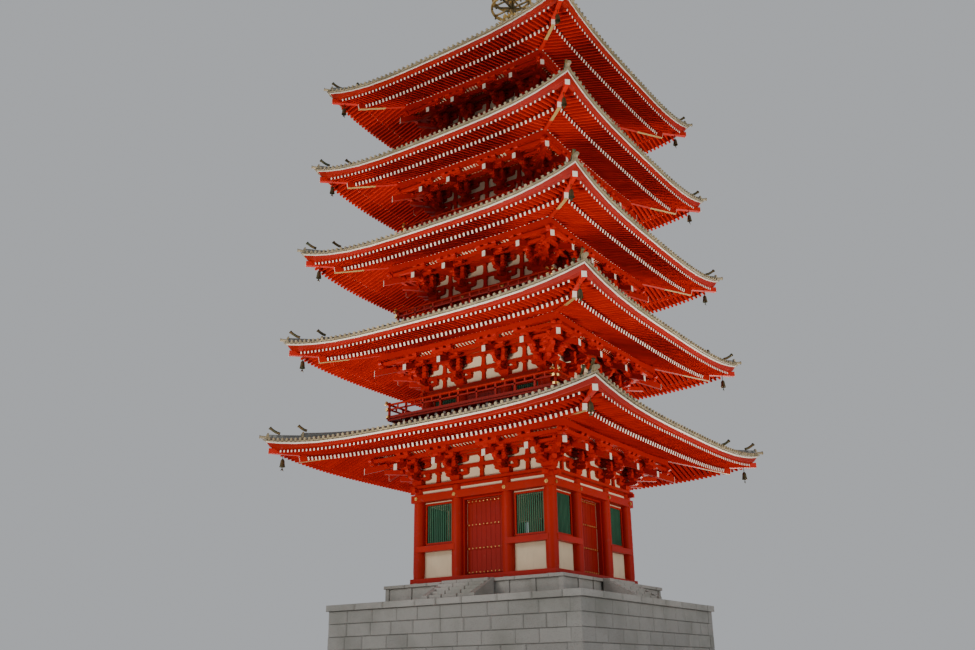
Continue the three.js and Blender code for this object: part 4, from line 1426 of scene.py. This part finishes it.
def build_railings():
    """Three rails that cross at the corners, on posts and little struts, with gilt ends."""
    for s in storeys[1:]:
        _, high = real_box(f"railing_{s.number}")
        reach, top = high.x, high.z - s.plate
        line = reach - 0.32
        z_bottom, z_middle, z_top = s.floor + 0.06, s.floor + 0.46, top - 0.14
        bottom, middle, rail, caps, square_caps, posts, struts = (Shape() for _ in range(7))
        for shape, z, past in ((bottom, z_bottom, 0.16), (middle, z_middle, 0.2)):
            end = line + past
            shape.line((-end, -line, z), (end, -line, z))
            for way in (-1, 1):
                square_caps.line((way * (end - 0.09), -line, z), (way * (end + 0.012), -line, z))
        bend = [(-reach + 0.06, 0.075), (-line - 0.1, 0.02), (-line, 0.0)]
        left = [Vector((x, -line, z_top + up)) for x, up in bend]
        right = [Vector((-point.x, point.y, point.z)) for point in left[::-1]]
        rail.line(*left, *right)
        for end, inward in (left[:2], right[:-3:-1]):
            way = (end - inward).normalized()
            caps.line(end - way * 0.1, end + way * 0.02)
        count = round(2 * line / 1.15)
        for i in range(count):
            x = -line + 2 * line * i / count
            posts.line((x, -line, s.floor + 0.01), (x, -line, (z_top if i else top) - 0.02))
            x += line / count
            struts.line((x, -line, z_middle), (x, -line, z_top))
        meshes = [
            members("bottom", bottom.turned(), "vermilion", 0.11, 0.11, 1),
            members("middle", middle.turned(), "vermilion", 0.1, 0.07, 2),
            rounds("top", rail.turned(), "vermilion", 0.058, 12, 3),
            members("posts", posts.turned(), "vermilion", 0.1, 0.1, 4),
            members("struts", struts.turned(), "vermilion", 0.07, 0.07, 5),
            rounds("caps", caps.turned(), "gilt", 0.066, 12, 6),
            members("square caps", square_caps.turned(), "gilt", 0.12, 0.118, 7),
        ]
        show_storey("railings", s, meshes, "vermilion", "railing")


# Finial
def build_basin():
    """The square dew basin with three framed panels on each side."""
    low, high = real_box("dew_basin")
    foot, top, half = low.z, high.z, high.x
    basin = Shape().squares(
        [(half, foot), (half, foot + 0.1), (half - 0.05, foot + 0.16), (half - 0.12, foot + 0.18),
         (half - 0.12, top - 0.22), (half - 0.06, top - 0.18), (half - 0.04, top - 0.14), (half, top - 0.1),
         (half, top)]
    )
    panels = Shape()
    for x in (-0.48, 0.0, 0.48):
        opening = (x - 0.15, x + 0.15, foot + 0.3, top - 0.36)
        outer = (x - 0.2, x + 0.2, foot + 0.24, top - 0.3)
        panels.surround(opening, outer, -half + 0.085, -half + 0.2)
    meshes = [solid("basin", basin, "bronze"), solid("basin panels", panels.turned(), "gilt")]
    show("dew_basin_dressed", meshes, ["dew_basin"])


def petal(middle, reach, rise, base):
    """The corners and faces of one lotus petal, a curved plate that narrows to a point."""
    root, root_height, thick = 0.26, 0.78, 0.035
    corners, faces = [], []
    for t, spread in ((0.0, 0.26), (0.35, 0.3), (0.7, 0.25), (1.0, 0.02)):
        radius = root + (reach - root) * t
        height = base + root_height + (rise - root_height) * t**2.0
        for way in (-1, 0, 1):
            x, y = radius * math.cos(middle + way * spread), radius * math.sin(middle + way * spread)
            sunk = 0.035 * (1 - abs(way)) * (1 - t)
            corners += [(x, y, height - sunk), (x, y, height - sunk + thick)]
    for a, b in ((0, 6), (6, 12), (12, 18)):
        for i in (0, 2):
            faces.append((a + i, a + i + 2, b + i + 2, b + i))
            faces.append((a + i + 1, b + i + 1, b + i + 3, a + i + 3))
        for i in (0, 4):
            faces.append((a + i, b + i, b + i + 1, a + i + 1))
    faces += [(i, i + 2, i + 3, i + 1) for i in (0, 2, 18, 20)]
    return corners, faces


def build_bowl():
    """The inverted bowl and the lotus that opens above it."""
    base = real_box("finial_bowl")[0].z
    profile = [
        (0.0, 0.0), (0.74, 0.0), (0.735, 0.06), (0.7, 0.28), (0.6, 0.43), (0.46, 0.56), (0.3, 0.62),
        (0.27, 0.7), (0.34, 0.78), (0.3, 0.84), (0.3, 0.98), (0.0, 0.98),
    ]
    bowl, petals = Shape().lathe(moved(profile, 0, base), 40), Shape()
    count = 12
    for reach, rise, shift in ((0.9, 1.2, 0.0), (0.78, 1.24, 0.5)):
        for i in range(count):
            petals.add(*petal(2 * math.pi * (i + shift) / count, reach, rise, base))
    meshes = [solid("bowl", bowl, "bronze", 35), solid("petals", petals, "gilt", 50)]
    show("bowl_and_lotus", meshes, ["finial_bowl"])


def build_rings():
    """The mast and its nine spoked rings, each hung with small bells."""
    low, high = real_box("finial_rings")
    rings, first, apart = 9, low.z + 3.8, 0.78
    mast = Shape().lathe([(0, low.z), (0.148, low.z), (0.14, high.z - 0.02), (0, high.z - 0.02)], 20)
    hoop = [(-0.14, -0.07), (-0.02, -0.085), (0.0, -0.04), (0.0, 0.04), (-0.02, 0.085), (-0.14, 0.07)]
    hub = [(0.13, -0.12), (0.24, -0.1), (0.26, 0.0), (0.24, 0.1), (0.13, 0.12)]
    sleeve = [(0.14, 0.3), (0.19, 0.34), (0.19, 0.44), (0.14, 0.48)]
    bell_profile = [(0, 0.0), (0.03, 0.0), (0.045, -0.05), (0.06, -0.17), (0.045, -0.17), (0.0, -0.06)]
    meshes = [solid("mast", mast, "bronze", 40)]
    spokes, hubs, sleeves, bells = Shape(), Shape(), Shape(), Places()
    for ring in range(rings):
        z, radius = first + apart * ring, 1.35 - 0.07 * ring
        meshes.append(solid(f"hoop {ring}", Shape().collar(moved(hoop, radius, z), 40), "gilt", 35))
        hubs.collar(moved(hub, 0, z), 20)
        if ring < rings - 1:
            sleeves.collar(moved(sleeve, 0, z), 20)
        for i in range(8):
            way = Vector((math.cos(math.pi / 4 * i), math.sin(math.pi / 4 * i), 0))
            points = [way * 0.2, way * (radius - 0.1)]
            if i % 2:
                points.insert(1, way * (0.2 + (radius - 0.3) * 0.5) + way.cross(Vector((0, 0, 0.1))))
            spokes.line(*(point + Vector((0, 0, z)) for point in points))
            bells.add(way * (radius - 0.09) + Vector((0, 0, z - 0.08)))
    meshes += [
        solid("hubs", hubs, "bronze", 35),
        solid("sleeves", sleeves, "gilt", 35),
        members("spokes", spokes, "bronze", 0.09, 0.1, 1),
        repeats("small bells", bells, Shape().lathe(bell_profile, 8), "bronze", 2),
    ]
    show("nine_rings", meshes, ["finial_rings"])


def build_flame():
    """The openwork flame on four sides of the mast."""
    low, high = real_box("water_flame")
    base, scale = low.z, high.x / 0.98
    outline = [(0.18, 0.12), (0.5, 0.16), (0.84, 0.5), (0.78, 0.88), (0.94, 1.2), (0.72, 1.58), (0.76, 1.98),
               (0.44, 2.42), (0.18, 2.1)]
    swirls = [[(0.2, 0.5), (0.42, 0.42), (0.62, 0.6), (0.52, 0.84), (0.34, 0.76)],
              [(0.2, 1.05), (0.44, 0.98), (0.7, 1.16), (0.56, 1.42), (0.36, 1.3)],
              [(0.2, 1.6), (0.36, 1.52), (0.56, 1.7), (0.46, 1.94), (0.3, 1.84)]]
    hooks = [[(u - 0.3, v - 0.12), (u - 0.02, v)] for u, v in ((0.84, 0.5), (0.94, 1.2), (0.76, 1.98))]
    ribs, curls = Shape(), Shape()
    for shape, paths in ((ribs, [outline]), (curls, swirls + hooks)):
        for path in paths:
            shape.line(*((u * scale, 0, base + v) for u, v in path))
    collar = [(0.156, 0.1), (0.22, 0.1), (0.2, 1.1), (0.22, 2.15), (0.156, 2.15)]
    meshes = [
        members("ribs", ribs.turned(), "gilt", 0.06, 0.075, 1),
        members("curls", curls.turned(), "gilt", 0.05, 0.06, 2),
        solid("collar", Shape().collar(moved(collar, 0, base), 20), "bronze", 35),
    ]
    show("flame_openwork", meshes, ["water_flame"])


def build_jewels():
    """The round ball and the pointed jewel at the very top."""
    low, high = real_box("finial_jewels")
    ball = [(0.0, 0.0), (0.2, 0.0), (0.3, 0.06), (0.355, 0.16), (0.378, 0.28), (0.355, 0.4), (0.3, 0.5),
            (0.22, 0.58), (0.18, 0.64)]
    jewel = [(0.26, 0.02), (0.34, 0.14), (0.378, 0.3), (0.35, 0.44), (0.26, 0.57), (0.14, 0.7), (0.05, 0.82)]
    profile = moved(ball, 0, low.z) + moved(jewel, 0, low.z + 0.7) + [(0.0, high.z)]
    meshes = [solid("jewels", Shape().lathe(profile, 32), "gilt", 50)]
    show("ball_and_jewel", meshes, ["finial_jewels"])


# Stage
def lamp(name, kind, energy, colour, place, aim, size):
    """A lamp aimed at a point and hidden from the camera; size is a sun's angle or a disk's width."""
    data = bpy.data.lights.new(name, kind)
    data.energy, data.color = energy, colour
    if kind == "SUN":
        data.angle = size
    else:
        data.shape, data.size, data.spread = "DISK", size, math.radians(85)
    made = bpy.data.objects.new(name, data)
    made.location = place
    made.rotation_euler = (Vector(aim) - Vector(place)).to_track_quat("-Z", "Y").to_euler()
    made.visible_camera = False
    bpy.context.scene.collection.objects.link(made)


def build_floor_and_backdrop(light):
    """The pale floor and the plain colour all round."""
    width = 1800
    floor = bpy.data.objects.new("studio_floor", bpy.data.meshes.new("studio_floor"))
    floor.data.from_pydata([(x * width, y * width, 0) for x, y in STONE_FACE], [], [(0, 1, 2, 3)])
    floor.data.materials.append(finish("floor"))
    bpy.context.scene.collection.objects.link(floor)
    world = bpy.data.worlds.new("Studio")
    world.use_nodes = True
    background = world.node_tree.nodes["Background"]
    background.inputs["Color"].default_value = (*light.backdrop, 1)
    background.inputs["Strength"].default_value = light.backdrop_strength
    bpy.context.scene.world = world


def build_camera():
    """The camera at the photograph's viewpoint."""
    yaw, pitch, roll = (math.radians(angle) for angle in CAMERA_ANGLES)
    ahead = Vector((math.sin(yaw) * math.cos(pitch), math.cos(yaw) * math.cos(pitch), math.sin(pitch)))
    right = Vector((math.cos(yaw), -math.sin(yaw), 0))
    up = right.cross(ahead)
    side, top = right * math.cos(roll) + up * math.sin(roll), up * math.cos(roll) - right * math.sin(roll)
    data = bpy.data.cameras.new("Camera")
    data.lens, data.sensor_width, data.clip_end = CAMERA_LENS, CAMERA_SENSOR, 500
    camera = bpy.data.objects.new("Camera", data)
    camera.matrix_world = Matrix((side, top, -ahead)).transposed().to_4x4()
    camera.location = CAMERA_PLACE
    bpy.context.scene.collection.objects.link(camera)
    bpy.context.scene.camera = camera


def build_lamps(light):
    """Three soft suns round the building and a low lamp on each side that reaches under the eaves."""
    middle, cool = (0, 0, 13), (0.95, 0.97, 1.0)
    lamp("Key", "SUN", light.key, (1.0, 0.97, 0.93), (-30, -60, 40), middle, math.radians(20))
    lamp("Side", "SUN", light.side, cool, (60, -14, 14), middle, math.radians(30))
    lamp("Back", "SUN", light.side, cool, (-20, 60, 30), middle, math.radians(30))
    for name, turn in zip(COMPASS, SIDES):
        spot = Matrix.Rotation(turn, 3, "Z") @ Vector((0, -14, 1.0))
        lamp(name.capitalize() + " uplight", "AREA", light.uplight, (1.0, 0.9, 0.8), spot, (0, 0, 18), 3)


def length(name, description, default):
    """A size for the sidebar."""
    return FloatProperty(name=name, description=description, default=default, min=0.01, unit="LENGTH")


def colour(name, description, default):
    """A colour for the sidebar."""
    return FloatVectorProperty(
        name=name, description=description, default=default, subtype="COLOR", min=0, max=1
    )


def strength(name, description, default):
    """A lamp's strength for the sidebar."""
    return FloatProperty(name=name, description=description, default=default, min=0.0, soft_max=20.0)


class PagodaSizes(bpy.types.PropertyGroup):
    """Sizes of the repeated pieces, in metres of the real building."""

    rafter_spacing: length("Rafter spacing", "Distance from one rafter to the next", 0.257)
    rafter_width: length("Rafter width", "Width of a base rafter", 0.105)
    rafter_height: length("Rafter height", "Depth of a base rafter", 0.18)
    flying_width: length("Flying rafter width", "Width of a flying rafter", 0.09)
    flying_height: length("Flying rafter height", "Depth of a flying rafter", 0.115)
    tile_spacing: length("Tile row spacing", "Distance from one row of cover tiles to the next", 0.31)
    tile_radius: length("Cover tile radius", "Radius of the round cover tiles", 0.066)
    tile_course: length("Tile course", "Length of a tile that shows below the next", 0.3)
    bar_spacing: length("Window bar spacing", "Distance from one window bar to the next", 0.115)
    lattice_spacing: length("Lattice spacing", "Distance from one ceiling bar to the next", 0.2)


class PagodaColours(bpy.types.PropertyGroup):
    """Base colours that the procedural finishes vary."""

    vermilion: colour("Vermilion", "Paint of the timbers", (0.43, 0.014, 0.006))
    white: colour("White", "Paint of the rafter ends and eave board", (0.82, 0.77, 0.66))
    green: colour("Green", "Paint of the window bars", (0.045, 0.15, 0.085))
    ochre: colour("Ochre", "Paint under the hip rafters", (0.42, 0.28, 0.1))
    plaster: colour("Plaster", "Wall plaster", (0.75, 0.63, 0.43))
    tile: colour("Tile", "Roof tiles", (0.19, 0.195, 0.18))
    end_tile: colour("End tile", "Eave edge, ridge ends and corner tiles", (0.3, 0.245, 0.14))
    gilt: colour("Gilt", "Fittings and the finial's rings", (0.72, 0.46, 0.15))
    bronze: colour("Bronze", "Bells and the finial's base", (0.33, 0.22, 0.1))
    stone: colour("Stone", "Plinth, podium and steps", (0.4, 0.385, 0.35))
    floor: colour("Floor", "Studio floor", (0.78, 0.77, 0.75))


class PagodaLight(bpy.types.PropertyGroup):
    """The studio's lamps and backdrop."""

    backdrop: colour("Backdrop", "Colour all round the object", (0.83, 0.86, 0.9))
    backdrop_strength: strength("Backdrop strength", "Brightness of the backdrop", 0.52)
    key: strength("Key", "Strength of the main lamp", 0.65)
    side: strength("Side", "Strength of the lamps at the side and back", 0.5)
    uplight: strength("Uplight", "Power of the low lamps that reach under the eaves", 620.0)


class PAGODA_OT_plinth(bpy.types.Operator):
    """Lays the plinth's courses, coping and paving"""

    bl_idname = "pagoda.plinth"
    bl_label = "Plinth"

    def execute(self, context):
        build_plinth()
        return {"FINISHED"}


class PAGODA_OT_podium(bpy.types.Operator):
    """Lays the podium and its four flights of steps"""

    bl_idname = "pagoda.podium"
    bl_label = "Podium and steps"

    def execute(self, context):
        build_podium()
        build_steps()
        return {"FINISHED"}


class PAGODA_OT_frames(bpy.types.Operator):
    """Raises the columns and ties them with beams"""

    bl_idname = "pagoda.frames"
    bl_label = "Columns and beams"

    def execute(self, context):
        build_frames()
        return {"FINISHED"}


class PAGODA_OT_walls(bpy.types.Operator):
    """Fills the bays with wall panels, doors and barred windows"""

    bl_idname = "pagoda.walls"
    bl_label = "Walls, doors and windows"

    def execute(self, context):
        build_walls(context.scene.pagoda_sizes)
        return {"FINISHED"}


class PAGODA_OT_brackets(bpy.types.Operator):
    """Stacks the bracket sets and the ceilings between them"""

    bl_idname = "pagoda.brackets"
    bl_label = "Bracket sets and ceilings"

    def execute(self, context):
        build_brackets()
        build_ceilings(context.scene.pagoda_sizes)
        return {"FINISHED"}


class PAGODA_OT_eaves(bpy.types.Operator):
    """Boards the eaves and hangs the wind bells"""

    bl_idname = "pagoda.eaves"
    bl_label = "Eave boards and bells"

    def execute(self, context):
        build_eaves()
        build_bells()
        return {"FINISHED"}


class PAGODA_OT_rafters(bpy.types.Operator):
    """Sets the base and flying rafters"""

    bl_idname = "pagoda.rafters"
    bl_label = "Rafters"

    def execute(self, context):
        build_rafters(context.scene.pagoda_sizes)
        return {"FINISHED"}


class PAGODA_OT_roofs(bpy.types.Operator):
    """Tiles the five roofs"""

    bl_idname = "pagoda.roofs"
    bl_label = "Tiled roofs"

    def execute(self, context):
        build_roofs(context.scene.pagoda_sizes)
        return {"FINISHED"}


class PAGODA_OT_ridges(bpy.types.Operator):
    """Builds the hip ridges and their end tiles"""

    bl_idname = "pagoda.ridges"
    bl_label = "Ridges"

    def execute(self, context):
        build_ridges()
        return {"FINISHED"}


class PAGODA_OT_balconies(bpy.types.Operator):
    """Builds the balconies and their railings"""

    bl_idname = "pagoda.balconies"
    bl_label = "Balconies and railings"

    def execute(self, context):
        build_balconies()
        build_railings()
        return {"FINISHED"}


class PAGODA_OT_finial(bpy.types.Operator):
    """Casts the finial, from its dew basin to its jewel"""

    bl_idname = "pagoda.finial"
    bl_label = "Finial"

    def execute(self, context):
        build_basin()
        build_bowl()
        build_rings()
        build_flame()
        build_jewels()
        return {"FINISHED"}


class PAGODA_OT_stage(bpy.types.Operator):
    """Sets the floor, the lamps and the camera"""

    bl_idname = "pagoda.stage"
    bl_label = "Stage"

    def execute(self, context):
        light = context.scene.pagoda_light
        build_floor_and_backdrop(light)
        build_camera()
        build_lamps(light)
        return {"FINISHED"}


PIECE_OPERATORS = (
    PAGODA_OT_plinth,
    PAGODA_OT_podium,
    PAGODA_OT_frames,
    PAGODA_OT_walls,
    PAGODA_OT_brackets,
    PAGODA_OT_eaves,
    PAGODA_OT_rafters,
    PAGODA_OT_roofs,
    PAGODA_OT_ridges,
    PAGODA_OT_balconies,
    PAGODA_OT_finial,
    PAGODA_OT_stage,
)


class PAGODA_PT_panel(bpy.types.Panel):
    """Lists the pagoda's sizes, colours, lamps and pieces"""

    bl_idname = "PAGODA_PT_panel"
    bl_label = "Pagoda"
    bl_space_type = "VIEW_3D"
    bl_region_type = "UI"
    bl_category = "Pagoda"

    def draw(self, context):
        scene = context.scene
        for group in (scene.pagoda_sizes, scene.pagoda_colours, scene.pagoda_light):
            box = self.layout.box()
            for name in group.__annotations__:
                box.prop(group, name)
        for operator in PIECE_OPERATORS:
            self.layout.operator(operator.bl_idname)


CLASSES = (PagodaSizes, PagodaColours, PagodaLight, *PIECE_OPERATORS, PAGODA_PT_panel)


def register():
    """Registers the sizes, colours, lamps, operators and panel."""
    for cls in CLASSES:
        bpy.utils.register_class(cls)
    bpy.types.Scene.pagoda_sizes = PointerProperty(type=PagodaSizes)
    bpy.types.Scene.pagoda_colours = PointerProperty(type=PagodaColours)
    bpy.types.Scene.pagoda_light = PointerProperty(type=PagodaLight)


def unregister():
    """Takes away all that register put in."""
    del bpy.types.Scene.pagoda_light, bpy.types.Scene.pagoda_colours, bpy.types.Scene.pagoda_sizes
    for cls in reversed(CLASSES):
        bpy.utils.unregister_class(cls)


def main():
    """Builds every piece in order."""
    register()
    for operator in PIECE_OPERATORS:
        group, name = operator.bl_idname.split(".")
        getattr(getattr(bpy.ops, group), name)()


if __name__ == "__main__":
    main()
